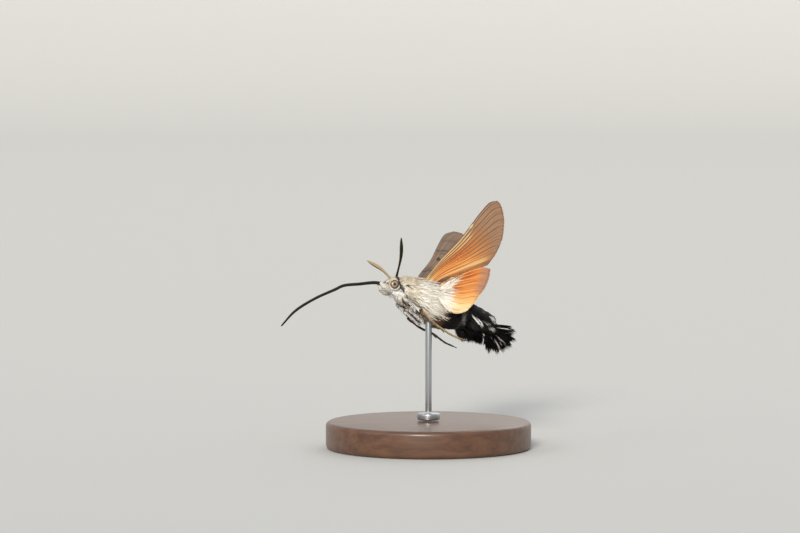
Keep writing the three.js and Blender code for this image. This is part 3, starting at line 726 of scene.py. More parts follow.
def body_colour(places, looks):
    """The coat's markings, from the place on the body."""
    x, y, z = places.T
    cloud = noise_at(places, 1.3)
    fine = noise_at(places, 0.45, 9.0)
    grain = noise_at(places * (0.4, 1, 1), 0.28, 5.0)
    brown = looks.brown
    rear_of_eye, over_eye = side_plane(places)
    streaks_of_flank = smooth(0.15, 0.5, grain) * bump_at(z, 0.3, 2.6) * smooth(8, 5.6, x)
    belly = smooth(-1.3, -2.9, z + 0.7 * cloud) * smooth(5.2, 3.4, x)
    rear = smooth(-1.0, -2.8, x + 0.6 * cloud) * smooth(-0.6, -2.4, z)
    under_head = smooth(3.6, 5.2, x) * smooth(-0.3, -1.1, over_eye)
    colour = layered(mix(looks.cream, looks.grey, smooth(-0.9, 1.2, z + 0.5 * cloud)), [
        (brown, 0.45 * streaks_of_flank),
        (looks.white, 0.2 * belly),
        (toned(brown, 0.5), 0.9 * belly * smooth(-0.35, 0.1, grain)),
        (toned(brown, (0.75, 0.55, 0.42)), rear * smooth(0.7, 0.2, fine)),
        (looks.white, 0.9 * under_head),
    ])
    for mark_rear, mark_top, reach in FACE_MARKS:
        away = np.hypot(rear_of_eye - mark_rear, over_eye - mark_top) + 0.2 * fine
        colour = mix(colour, brown, 0.75 * (1 - smooth(reach * 0.3, reach, away)))
    # The line behind the eye: dark scales with painted shadow of the antenna's base and of the gap
    # between head and thorax
    shadow_line_and_marks = 1 - smooth(0.15, 0.3, line_distance(rear_of_eye, over_eye, EYE_SCALE_AND_SHADOW_LINE))
    for mark_rear, mark_top, reach in DARK_MARKS:
        away = np.hypot(rear_of_eye - mark_rear, (over_eye - mark_top) * 1.4)
        shadow_line_and_marks = np.maximum(shadow_line_and_marks, 0.9 * (1 - smooth(reach * 0.5, reach, away)))
    flank = smooth(0.5, 0.9, np.abs(y))
    colour = mix(colour, looks.line, 0.95 * shadow_line_and_marks * flank * smooth(1, 2, x))
    # The dark lines are painted shade in the creases beside the folded legs; the cream lines are the
    # legs' own colour
    for shade, lines, strength in ((brown, CHEST_CREASE_SHADOWS, 0.7), (looks.cream, CREAM_LINES, 0.9)):
        for corners, half_width in lines:
            away = line_distance(rear_of_eye, over_eye, corners)
            drawn = 1 - smooth(half_width * 0.5, half_width * 1.3, away)
            colour = mix(colour, shade, strength * drawn * flank)
    bands = bump_at(x, -8.35, 0.55) * smooth(1.2, 0.2, z) + bump_at(x, -11.7, 0.5)
    front_grey = smooth(-8, -5, x) * smooth(0.3, 1.6, z)
    abdomen = layered(looks.black, [
        # Painted sheen: the top of the hump is drawn blue-black where its black scales would shine
        (looks.sheen, smooth(-8.2, -9.2, x) * smooth(0.2, 1.6, z)),
        (toned(brown, 0.35), 0.35 * smooth(0.1, 0.6, cloud)),
        (looks.band, np.clip(bands, 0, 1) * smooth(-0.5, 0.1, fine + 0.3)),
        (toned(looks.grey, 0.7), 0.85 * front_grey),
        (looks.white, paleness_at(places)),
    ])
    return mix(colour, abdomen, smooth(WAIST - 0.2, WAIST - 0.9, x))


def lock_mesh(name, locks, patches):
    """Many flat tapered locks as one mesh. Each has its own small patch on the OFBake map."""
    count = len(locks["root"])
    lie, out = locks["lie"], locks["out"]
    side = np.cross(lie, out)
    length, width, bend, sway, flatness = (
        locks[key][:, None] for key in ("length", "width", "bend", "sway", "flatness")
    )

    def spine(t):
        return locks["root"] + lie * length * t + (side * sway - out * bend) * length * t * t

    corners = []
    for t, taper in zip(LOCK_STATIONS, LOCK_TAPER):
        half = side * width * taper / 2
        ridge = out * width * taper * flatness
        corners += [spine(t) - half, spine(t) + half, spine(t) + ridge]
    corners.append(spine(1.0))
    places = np.stack(corners, 1)
    size = places.shape[1]
    sizes = np.array([len(f) for f in LOCK_FACES])
    face_points = np.concatenate([np.array(f) for f in LOCK_FACES])
    loops = (np.arange(count)[:, None] * size + face_points).ravel()
    starts = np.concatenate([[0], np.cumsum(np.tile(sizes, count))[:-1]])
    mesh = bpy.data.meshes.new(name)
    mesh.vertices.add(count * size)
    mesh.loops.add(len(loops))
    mesh.polygons.add(count * len(sizes))
    stood = to_stand(places.reshape(-1, 3)).astype(np.float32)
    mesh.vertices.foreach_set("co", stood.ravel())
    mesh.loops.foreach_set("vertex_index", loops.astype(np.int32))
    mesh.polygons.foreach_set("loop_start", starts.astype(np.int32))
    share = np.append(np.repeat(LOCK_STATIONS, 3), 1.0)
    # Painted shade: each lock is drawn darker at its root, where the coat shades it, and pale locks
    # are darkened less
    shade = 0.5 + 0.35 * locks["colour"].mean(axis=1)[:, None]
    shade = shade + (1 - shade) * smooth(0, 0.6, share)
    colours = locks["colour"][:, None, :] * shade[:, :, None]
    mesh.update(calc_edges=True)
    mesh.validate()
    ends = np.empty(len(mesh.edges) * 2, np.int32)
    mesh.edges.foreach_get("vertices", ends)
    first, last = np.sort(ends.reshape(-1, 2) % size, axis=1).T
    sharp = np.isin(first * size + last, [a * size + b for a, b in LOCK_RIMS])
    mesh.attributes.new("sharp_edge", "BOOLEAN", "EDGE").data.foreach_set("value", sharp)
    paint(mesh, colours.reshape(-1, 3))
    beside = np.array([-0.5, 0.5, 0] * 3 + [0])
    patch = patches[:, None, :] + np.stack([beside, share - 0.5], -1) * PATCH_SIZE
    bake_map = mesh.uv_layers.new(name="OFBake")
    bake_map.data.foreach_set("uv", patch.reshape(-1, 2)[loops].astype(np.float32).ravel())
    return mesh


def make_locks(root, lie, out, colour, length, width, bend, sway=0.0, flatness=0.3):
    """The rows that lock_mesh reads: where each lock starts, the way it lies and its outer side.
    Its tip bends inwards and sways aside by shares of its length, and its ridge stands up by a
    share of its width."""
    locks = {"root": root, "lie": lie, "out": across(out, lie), "colour": np.clip(colour, 0, 1)}
    sizes = {"length": length, "width": width, "bend": bend, "sway": sway, "flatness": flatness}
    for key, rows in sizes.items():
        locks[key] = np.broadcast_to(rows, len(root))
    return locks


def mirrored_locks(side, root, lie, out, *rest, **sizes):
    """Locks that are worked out for the left side, on their own side."""
    return make_locks(*(mirrored(rows, side) for rows in (root, lie, out)), *rest, **sizes)


def patch_at(first, second):
    """A place on the unwrap of a skin, from two shares, a little inside its edges."""
    return np.stack([0.02 + 0.96 * first, 0.02 + 0.96 * second], -1)


def unwrap_of_body(x, angle, side="left"):
    """Where a place of the trunk, or its mirror image, lies on the unwrap of its skin."""
    if side == "right":
        angle = math.pi - angle
    turn = np.mod(angle / math.tau + 0.25, 1)
    return patch_at(turn, (x - TAIL_END) / (NOSE_END - TAIL_END))


def scatter(count, x_range, angle_range):
    """Random places on the body, as many for each square millimetre everywhere."""
    x = chance.uniform(*x_range, count * 3)
    angle = chance.uniform(*angle_range, count * 3)
    half_width, top, bottom = table_at(BODY, x).T
    reach = (half_width + (top - bottom) / 2) / 8
    kept = chance.random(count * 3) < reach
    return x[kept][:count], angle[kept][:count]


def clear_of_eyes(places, room):
    """True for places that aren't in an eye."""
    beside = places.copy()
    beside[:, 1] = np.abs(beside[:, 1])
    return np.linalg.norm((beside - EYE_CENTRE) / (EYE_HALF_SIZE + room), axis=1) > 1


def coat_locks(x, angle, looks, length, width, lift, droop=0.0, bend=0.12, loose=0.16):
    """Locks that lie back along the body from their places, in small clumps. They rise by lift,
    in degrees, droop to the belly and stray by loose."""
    count = len(x)
    depth = np.interp(x, COAT_DEPTH[:, 0], COAT_DEPTH[:, 1])
    place, out, back = body_frame(x, angle, depth)
    flow = back + np.array([0, 0, -1.0]) * np.reshape(droop, (-1, 1))
    clump = np.stack([noise_at(place, 0.8, seed) for seed in (3.0, 17.0, 31.0)], -1)
    stray = clump * 1.1 + chance.normal(size=(count, 3)) * 0.35
    flow = across(across(flow, out) + stray * loose, out)
    rise = np.radians(lift) * chance.uniform(0.5, 1.5, count) * (1 + 0.6 * clump[:, 0])
    lie = unit(flow * np.cos(rise)[:, None] + out * np.sin(rise)[:, None])
    length = length * chance.uniform(0.7, 1.15, count) * (1 + 0.25 * clump[:, 1])
    colour = body_colour(place + lie * length[:, None] * 0.65, looks)
    strand = noise_at(np.stack([x * 0.35, angle * 8 + x * 0.5, 0 * x], -1), 1)
    tone = chance.uniform(0.82, 1.12, count) * (1 - 0.5 * smooth(0.0, 0.6, strand))
    sway = chance.normal(0, 0.08, count)
    colour = colour * tone[:, None]
    return make_locks(place - out * 0.03, lie, out, colour, length, width, bend, sway)


def kept_rows(locks, kept):
    """Only the locks that a test keeps."""
    return {key: rows[kept] for key, rows in locks.items()}


def add_locks(name, groups, material, slot, replaced=()):
    """Adds groups of locks, each with its patches, as one piece."""
    locks = {key: np.concatenate([group[key] for group, _ in groups]) for key in groups[0][0]}
    patches = np.concatenate([rows for _, rows in groups])
    add_object(lock_mesh(name, locks, patches), material, slot, replaced)


class MOTH_OT_skin(bpy.types.Operator):
    """One skin for head, thorax and abdomen, under the coat"""

    bl_idname = "moth.skin"
    bl_label = "Skin"

    def execute(self, context):
        """Makes the skin and the palps."""
        looks = context.scene.moth_coat
        # Short close scales under the hair: dull, with a fine nap of 0.12 mm
        fur = painted_material("Short moth scales", 0.8, 0.08, 0.5, lump_mm=0.12)

        def shape(u, v, _):
            x = TAIL_END + (NOSE_END - TAIL_END) * v
            depth = np.interp(x, COAT_DEPTH[:, 0], COAT_DEPTH[:, 1])
            places = body_surface(x, u * math.tau, depth)
            # The skin takes the coat's colours, darkened as painted shade under the hair
            return places, body_colour(places, looks) * PAINTED_SKIN_SHADE

        mesh = formed_mesh("body_skin", *SKIN_GRID, shape)
        nodes = ("head", "thorax", "abdomen_front", "abdomen_middle", "abdomen_rear")
        add_object(mesh, fur, "grey_fur", nodes)
        for side in SIDES:
            # Palp skin: white, darkened as painted shade under its scales
            mesh = tube_mesh(
                f"palp_skin_{side}", mirrored(PALP_LINE, side), PALP_RADII,
                lambda v, out: np.tile(looks.white, (len(v), 1)) * PAINTED_SKIN_SHADE, along=60,
            )
            add_object(mesh, fur, "pale_scales", (f"palp_{side}",))
        return {"FINISHED"}


class MOTH_OT_coat(bpy.types.Operator):
    """Hair and scales of head, thorax and abdomen"""

    bl_idname = "moth.coat"
    bl_label = "Coat"

    def execute(self, context):
        """Makes the locks of each region as a piece of its own."""
        looks = context.scene.moth_coat
        # Soft hair: each lock is dull and bright at its edges, and varies a little along it
        fur = painted_material("Moth hair", 0.75, 0.08, 0.0, lump_mm=0.25)
        self.thorax(looks, fur)
        self.folds(looks, fur)
        self.head(looks, fur)
        self.throat(looks, fur)
        for side in SIDES:
            self.palp(side, looks, fur)
            self.orbit(side, looks, fur)
        self.abdomen(looks, fur)
        self.wing_roots(looks, fur)
        return {"FINISHED"}

    def thorax(self, looks, fur):
        """Long loose hair, longest on the flanks and belly."""
        longest = looks.hair_length / MM
        width = looks.hair_width / MM
        for side, turn in (("left", 0), ("right", math.pi)):
            half_turn = (turn - math.pi / 2, turn + math.pi / 2)
            x, angle = scatter(looks.hairs, COAT_RANGES["thorax"], half_turn)
            low = smooth(0.9, -0.9, np.sin(angle))
            length = longest * (0.5 + 0.5 * low) * (1 - 0.3 * smooth(3.5, 5.5, x))
            length = length * (1 - 0.35 * low * smooth(2.2, 4.5, x))
            locks = coat_locks(
                x, angle, looks, length, width, lift=15, droop=0.25 * low, bend=0.16, loose=0.3,
            )
            add_locks(f"coat_thorax_{side}", [(locks, unwrap_of_body(x, angle))], fur, "grey_fur")

    def folds(self, looks, fur):
        """Strands along the chest's folds, where the folded legs press the hair: dark ones that
        paint the shade in the creases, and cream ones.
        """
        groups = []
        for shade, lines in ((toned(looks.brown, 0.45), CHEST_CREASE_SHADOWS), (looks.white, CREAM_LINES)):
            for corners, half_width in lines:
                half_turn = (-math.pi / 2, math.pi / 2)
                x, angle = scatter(LOCK_COUNTS["fold"], COAT_RANGES["fold"], half_turn)
                place, out, _ = body_frame(x, angle, -0.1)
                rear, top = side_plane(place)
                near = line_distance(rear, top, corners) < half_width * 0.6
                x, angle, place, out = x[near], angle[near], place[near], out[near]
                run = np.subtract(corners[-1], corners[0])
                lie = across(np.tile(SIDE_REAR * run[0] + SIDE_TOP * run[1], (len(x), 1)), out)
                lie = unit(lie + out * 0.06 + chance.normal(0, 0.07, (len(x), 3)))
                colour = toned(shade, chance.uniform(0.7, 1.2, (len(x), 1)))
                for side in SIDES:
                    length = chance.uniform(0.8, 1.5, len(x))
                    locks = mirrored_locks(
                        side, place, lie, out, colour, length, width=0.15, bend=0.14,
                    )
                    groups.append((locks, unwrap_of_body(x, angle, side)))
        add_locks("coat_folds", groups, fur, "grey_fur")

    def head(self, looks, fur):
        """Short close hair, shortest on the face."""
        x, angle = scatter(LOCK_COUNTS["head"], COAT_RANGES["head"], (0, math.tau))
        length = 0.95 - 0.5 * smooth(5.6, 7.6, x)
        locks = coat_locks(x, angle, looks, length, width=0.15, lift=13, loose=0.3)
        tips = locks["root"] + locks["lie"] * locks["length"][:, None] * 0.9
        kept = clear_of_eyes(locks["root"], 0.06) & clear_of_eyes(tips, 0.0)
        group = kept_rows(locks, kept), unwrap_of_body(x, angle)[kept]
        add_locks("coat_head", [group], fur, "grey_fur")

    def throat(self, looks, fur):
        """Longer hair that hangs in a ruff under the head."""
        below = (math.radians(-160), math.radians(-20))
        x, angle = scatter(LOCK_COUNTS["throat"], COAT_RANGES["throat"], below)
        locks = coat_locks(
            x, angle, looks, length=1.35, width=0.2, lift=26, droop=0.55, bend=0.1, loose=0.35,
        )
        kept = clear_of_eyes(locks["root"] + locks["lie"], 0.1)
        kept &= clear_of_eyes(locks["root"], 0.1)
        group = kept_rows(locks, kept), unwrap_of_body(x, angle)[kept]
        add_locks("coat_throat", [group], fur, "grey_fur")

    def orbit(self, side, looks, fur):
        """Short scales that lap over the rim of an eye."""
        count = LOCK_COUNTS["orbit"]
        turn = chance.uniform(0, math.tau, count)
        tilt = np.radians(chance.uniform(54, 88, count))
        axis = np.cross(SIDE_REAR, SIDE_TOP)
        first = unit(np.cross(axis, (0, 0, 1)))
        second = np.cross(axis, first)
        local = (axis * np.cos(tilt)[:, None] + first * (np.sin(tilt) * np.cos(turn))[:, None]
                 + second * (np.sin(tilt) * np.sin(turn))[:, None])
        place = EYE_CENTRE + local * EYE_HALF_SIZE
        out = unit(local / EYE_HALF_SIZE)
        inward = across(np.tile(axis, (count, 1)), out)
        back = across(np.tile([-1.0, 0.1, -0.25], (count, 1)), out)
        lie = unit(back - inward * 0.35 + out * 0.18 + chance.normal(0, 0.1, (count, 3)))
        low = smooth(-0.1, -0.7, side_plane(place)[1])
        colour = mix(body_colour(place + lie * 0.2, looks), looks.white, 0.9 * low)
        colour = colour * chance.uniform(0.75, 1.1, (count, 1))
        length = chance.uniform(0.22, 0.4, count)
        locks = mirrored_locks(side, place, lie, out, colour, length, width=0.12, bend=0.15)
        group = locks, patch_at(turn / math.tau, tilt / 2)
        add_locks(f"coat_orbit_{side}", [group], fur, "grey_fur")

    def palp(self, side, looks, fur):
        """Small scales on a palp, which point to its tip."""
        count = LOCK_COUNTS["palp"]
        curve = limb_line(mirrored(PALP_LINE, side))
        share = chance.uniform(0.03, 0.97, count)
        turn = chance.uniform(0, math.tau, count)
        tangent, out = limb_ring(curve, share, turn, 0.01, 0.01, (0, 1, 0))
        radius = limb_radius(share, PALP_RADII) * round_end(share)
        root = curve(share) + out * (radius * 0.95)[:, None]
        lie = unit(tangent + out * chance.uniform(0.1, 0.6, (count, 1))
                   + chance.normal(0, 0.22, (count, 3)))
        length = chance.uniform(0.35, 0.65, count) * (1 - 0.85 * smooth(0.4, 0.85, share))
        colour = mix(looks.cream, looks.white, chance.uniform(0.2, 0.9, count))
        colour = colour * chance.uniform(0.75, 1.05, (count, 1))
        tip_grey = smooth(0.5, 1, share) * smooth(0.1, 0.8, out[:, 2])
        fleck = chance.random(count) < 0.12 + 0.4 * tip_grey
        colour = mix(colour, looks.brown, 0.7 * fleck)
        locks = make_locks(root, lie, out, colour, length, width=0.14, bend=0.12)
        group = locks, patch_at(turn / math.tau, share)
        add_locks(f"coat_palp_{side}", [group], fur, "pale_scales")

    def abdomen(self, looks, fur):
        """Short flat scales in rows that lap over each other."""
        x, angle = scatter(LOCK_COUNTS["abdomen"], COAT_RANGES["abdomen"], (0, math.tau))
        locks = coat_locks(x, angle, looks, length=0.62, width=0.2, lift=9)
        add_locks("coat_abdomen", [(locks, unwrap_of_body(x, angle))], fur, "black_fur")

    def wing_roots(self, looks, fur):
        """Long white hair that fans back from below the wings."""
        count = LOCK_COUNTS["wing_root"]
        groups = []
        for side in SIDES:
            x = -0.3 + chance.normal(0, 1, count) * 1.2
            angle = np.radians(-8 + chance.normal(0, 1, count) * 20)
            x = np.clip(x, -3.4, 4.2)
            place, out, back = body_frame(x, angle, 0.12)
            spread = chance.normal(0, 0.1, (count, 1)) + 0.1
            lie = unit(back + out * chance.uniform(0.12, 0.42, (count, 1))
                       + np.cross(out, back) * spread)
            length = chance.uniform(1.4, 3.0, count)
            white = mix(looks.cream, toned(looks.white, 0.88), chance.random(count))
            colour = mix(white, looks.grey, 0.6 * (chance.random(count) < 0.2))
            colour = mix(colour, looks.brown, 0.6 * (chance.random(count) < 0.06))
            bend, sway = chance.uniform(0.1, 0.25, count), chance.normal(0, 0.1, count)
            locks = mirrored_locks(
                side, place, lie, out, colour, length, 0.15, bend, sway, flatness=0.2,
            )
            groups.append((locks, unwrap_of_body(x, angle, side)))
        add_locks("coat_wing_roots", groups, fur, "grey_fur")


class MOTH_OT_tail(bpy.types.Operator):
    """Tail brush and side tufts of the abdomen"""

    bl_idname = "moth.tail"
    bl_label = "Tail brush"

    def execute(self, context):
        """Makes the fan of the tail and the tufts."""
        looks = context.scene.moth_coat
        # Long smooth scales: sleeker than the hair, so the black keeps a little shine
        scales = painted_material("Long tail scales", 0.55, 0.0, 0.0, lump_mm=0.3)
        self.brush(looks, scales)
        self.tufts(looks, scales)
        return {"FINISHED"}

    def brush(self, looks, scales):
        """Long locks that draw together in pointed clumps."""
        count = LOCK_COUNTS["brush"]
        droop = math.radians(BRUSH_DROOP)
        along = np.array([-math.cos(droop), 0, -math.sin(droop)])
        flat = np.array([-math.sin(droop), 0, math.cos(droop)])
        sideways = np.array([0, 1.0, 0])
        spread = math.radians(BRUSH_SPREAD)
        start = chance.uniform(-spread, spread, count)
        layer = chance.uniform(-1, 1, count)
        step = 2 * spread / BRUSH_CLUMPS
        shift = 0.5 * (layer > 0)
        clump = (np.round(start / step - shift) + shift) * step
        off = start - clump
        aim = clump + 0.15 * off
        near, far = BRUSH_REACH
        reach = near + (far - near) * np.abs(np.sin(aim))
        uneven = 0.93 + 0.09 * np.sin(clump * 37 + 5 * shift)
        begin = chance.uniform(0.2, 3.2, count)
        full = reach * uneven * (1.08 - 0.42 * np.abs(off) / (step / 2))
        length = (full - begin) * chance.uniform(0.7, 1.0, count)

        def ray(angle, distance, depth):
            way = along * np.cos(angle)[:, None] + sideways * np.sin(angle)[:, None]
            return BRUSH_ROOT + way * distance[:, None] + flat * (layer * depth)[:, None]

        root = ray(start, begin, BRUSH_DEPTH[0])
        lie = unit(ray(aim, begin + length, BRUSH_DEPTH[1]) - root)
        black = toned(looks.black, chance.uniform(0.6, 1.6, (count, 1)))
        pale = np.clip(paleness_at(root + lie * (length * 0.6)[:, None]) * 1.1, 0, 1)
        pale = np.where(chance.random(count) < pale * 0.12, 1.0, 0.0)
        bright = toned(looks.white, chance.uniform(0.7, 1.0, (count, 1)))
        out = flat * np.where(layer > 0, 1, -1)[:, None]
        locks = make_locks(
            root, lie, out, mix(black, bright, pale), length, np.where(pale > 0, 0.26, 0.2),
            bend=0.05, sway=chance.normal(0, 0.03, count),
        )
        group = locks, patch_at((start / spread + 1) / 2, (layer + 1) / 2)
        add_locks("tail_locks", [group], scales, "black_fur", ("tail_brush",))

        def core(u, v, _):
            turn, rise = u * math.tau, (v - 0.5) * math.pi
            local = np.stack([
                np.cos(rise) * np.cos(turn), np.cos(rise) * np.sin(turn), np.sin(rise),
            ], -1) * BRUSH_CORE + (BRUSH_CORE_SHIFT, 0, 0)
            places = BRUSH_ROOT + local @ np.array([along, sideways, flat])
            return places, np.tile(looks.black, (len(u), 1))

        add_object(formed_mesh("tail_core", 32, 20, core), scales, "black_fur")

    def tufts(self, looks, scales):
        """Loose tufts along both sides of the abdomen, black with white ones."""
        groups = []
        count = LOCK_COUNTS["tuft"]
        for side in SIDES:
            for row in TUFT_ROWS:
                x = row + chance.normal(0, 0.28, count)
                angle = np.radians(chance.uniform(-78, 20, count))
                place, out, _ = body_frame(x, angle, 0.3)
                centre = np.round(np.degrees(angle) / TUFT_STEP) * TUFT_STEP
                lean = (np.degrees(angle) - centre) * -0.012
                lie = TUFT_LIE + out * 0.15 + np.array([0, 0.2, 1.0]) * lean[:, None]
                lie = unit(lie + chance.normal(0, 0.06, (count, 3)))
                length = chance.uniform(1.5, 2.9, count) * (0.75 + 0.25 * smooth(22, -20, centre))
                black = toned(looks.black, chance.uniform(0.6, 1.6, (count, 1)))
                pale = paleness_at(place + lie * (length * 0.6)[:, None])
                white = toned(looks.white, chance.uniform(0.45, 0.95, (count, 1)))
                chosen = chance.random(count) < smooth(0.05, 0.5, pale) * 0.9
                white = white * (0.2 + 0.8 * pale)[:, None]
                colour = np.where(chosen[:, None], white, black)
                locks = mirrored_locks(
                    side, place, lie, out, colour, length, width=0.2, bend=0.12,
                    sway=chance.normal(0, 0.05, count),
                )
                groups.append((locks, unwrap_of_body(x, angle, side)))
        add_locks("side_tufts", groups, scales, "black_fur")


class MOTH_OT_eyes(bpy.types.Operator):
    """Both compound eyes"""

    bl_idname = "moth.eyes"
    bl_label = "Eyes"

    def execute(self, context):
        """Makes the eyeballs with ring and dark spot."""
        parts, looks = context.scene.moth_parts, context.scene.moth_coat
        glaze = self.facets()
        for side in SIDES:
            ball = bmesh.new()
            bmesh.ops.create_uvsphere(ball, u_segments=72, v_segments=48, radius=1)
            mesh = finished_mesh(f"eyeball_{side}", ball)
            local = read_places(mesh)
            places = mirrored(EYE_CENTRE, side) + local * EYE_HALF_SIZE
            rear, top = side_plane(places)
            turn = np.arctan2(top, -rear)
            ring = np.hypot(rear, top) / (1 + 0.3 * bump_at(turn, 0.35, 0.7))
            inner = EYE_RING[0] - 0.06 * np.sin(turn * 2 + 0.6)
            colour = mix(parts.iris, toned(parts.iris, 0.5), smooth(0.3, inner, ring))
            colour = mix(colour, parts.ring, smooth(inner - 0.06, inner + 0.1, ring))
            colour = mix(parts.pupil, colour, smooth(EYE_PUPIL - 0.06, EYE_PUPIL + 0.04, ring))
            # The eye's rim outside its ring carries the same line: dark scales with painted shadow
            # of the gap behind the eye
            shadow_line_away = line_distance(rear, top, EYE_SCALE_AND_SHADOW_LINE)
            rim = mix(toned(looks.cream, 0.8), looks.line, 1 - smooth(0.1, 0.2, shadow_line_away))
            shown = smooth(EYE_RING[1] + 0.06, EYE_RING[1] - 0.02, ring)
            colour = mix(rim, colour, shown * smooth(0.0, 0.35, np.abs(local[:, 1])))
            mesh.vertices.foreach_set("co", to_stand(places).astype(np.float32).ravel())
            paint(mesh, colour)
            add_object(mesh, glaze, "eye", (f"eye_{side}",))
        return {"FINISHED"}

    def facets(self):
        """Compound eye: a hard clear surface over fine facets, so it shines with a faint grain.
        The real facets are 0.02 mm wide and are drawn at 0.06 mm."""
        material, tree = new_material("Compound eye cuticle")
        colour = add_node(tree, "ShaderNodeAttribute", {"attribute_name": "coat_colour"})
        place = add_node(tree, "ShaderNodeTexCoord").outputs["Object"]
        cells = add_node(
            tree, "ShaderNodeTexVoronoi", inputs={"Vector": place, "Scale": 1 / (0.06 * MM)},
        )
        relief = add_node(
            tree, "ShaderNodeBump",
            inputs={"Height": cells.outputs["Distance"], "Strength": 0.12, "Distance": 0.02 * MM},
        )
        close_material(tree, {
            "Base Color": colour.outputs["Color"], "Roughness": 0.3, "Coat Weight": 0.5,
            "Coat Roughness": 0.12, "Normal": relief.outputs["Normal"],
        })
        return material


class MOTH_OT_feelers(bpy.types.Operator):
    """Tongue and antennae"""

    bl_idname = "moth.feelers"
    bl_label = "Tongue and antennae"

    def execute(self, context):
        """Makes the tongue and both antennae, with their fine rings."""
        parts = context.scene.moth_parts
        # Hard horn with a soft shine, ringed in the mesh itself
        horn = painted_material("Insect horn", 0.42, 0.0, 0.15, lump_mm=0.2)
        # Painted highlight: the tongue's upper side is drawn lighter, as if lit from above
        painted_highlight = toned(parts.horn, 2.2)
        mesh = tube_mesh(
            "tongue", TONGUE_LINE, TONGUE_RADII,
            lambda v, out: mix(parts.horn, painted_highlight, smooth(0.2, 1, out[:, 2])),
            around=20, along=900, ribs=lambda v: 0.035 * np.sin(v * TONGUE_RINGS * math.tau),
        )
        nodes = ("proboscis_base", "proboscis_middle", "proboscis_tip")
        add_object(mesh, horn, "horn", nodes)
        for side in SIDES:
            self.antenna(side, parts, horn)
        return {"FINISHED"}

    def antenna(self, side, parts, horn):
        """A ringed club that narrows to a fine tip."""
        outward = mirrored([0.1, 0.8, -0.6], side)

        def colour(v, out):
            # Painted light and shade: the inner side is drawn pale as lit and the outer side dark as
            # shaded; the rings are the antenna's own
            inner = smooth(0.5, 0.15, out @ outward)
            tone = 1 - 0.3 * smooth(0.6, 0.9, np.sin(v * ANTENNA_RINGS * math.tau))
            return mix(parts.horn, parts.antenna, inner) * tone[:, None]

        mesh = tube_mesh(
            f"feeler_{side}", mirrored(ANTENNA_LINE, side), ANTENNA_RADII, colour,
            around=20, along=420, reference=(1, 0, 0),
            ribs=lambda v: 0.06 * np.abs(np.sin(v * ANTENNA_RINGS * math.pi)) - 0.05,
        )
        add_object(mesh, horn, "horn", (f"antenna_{side}",))


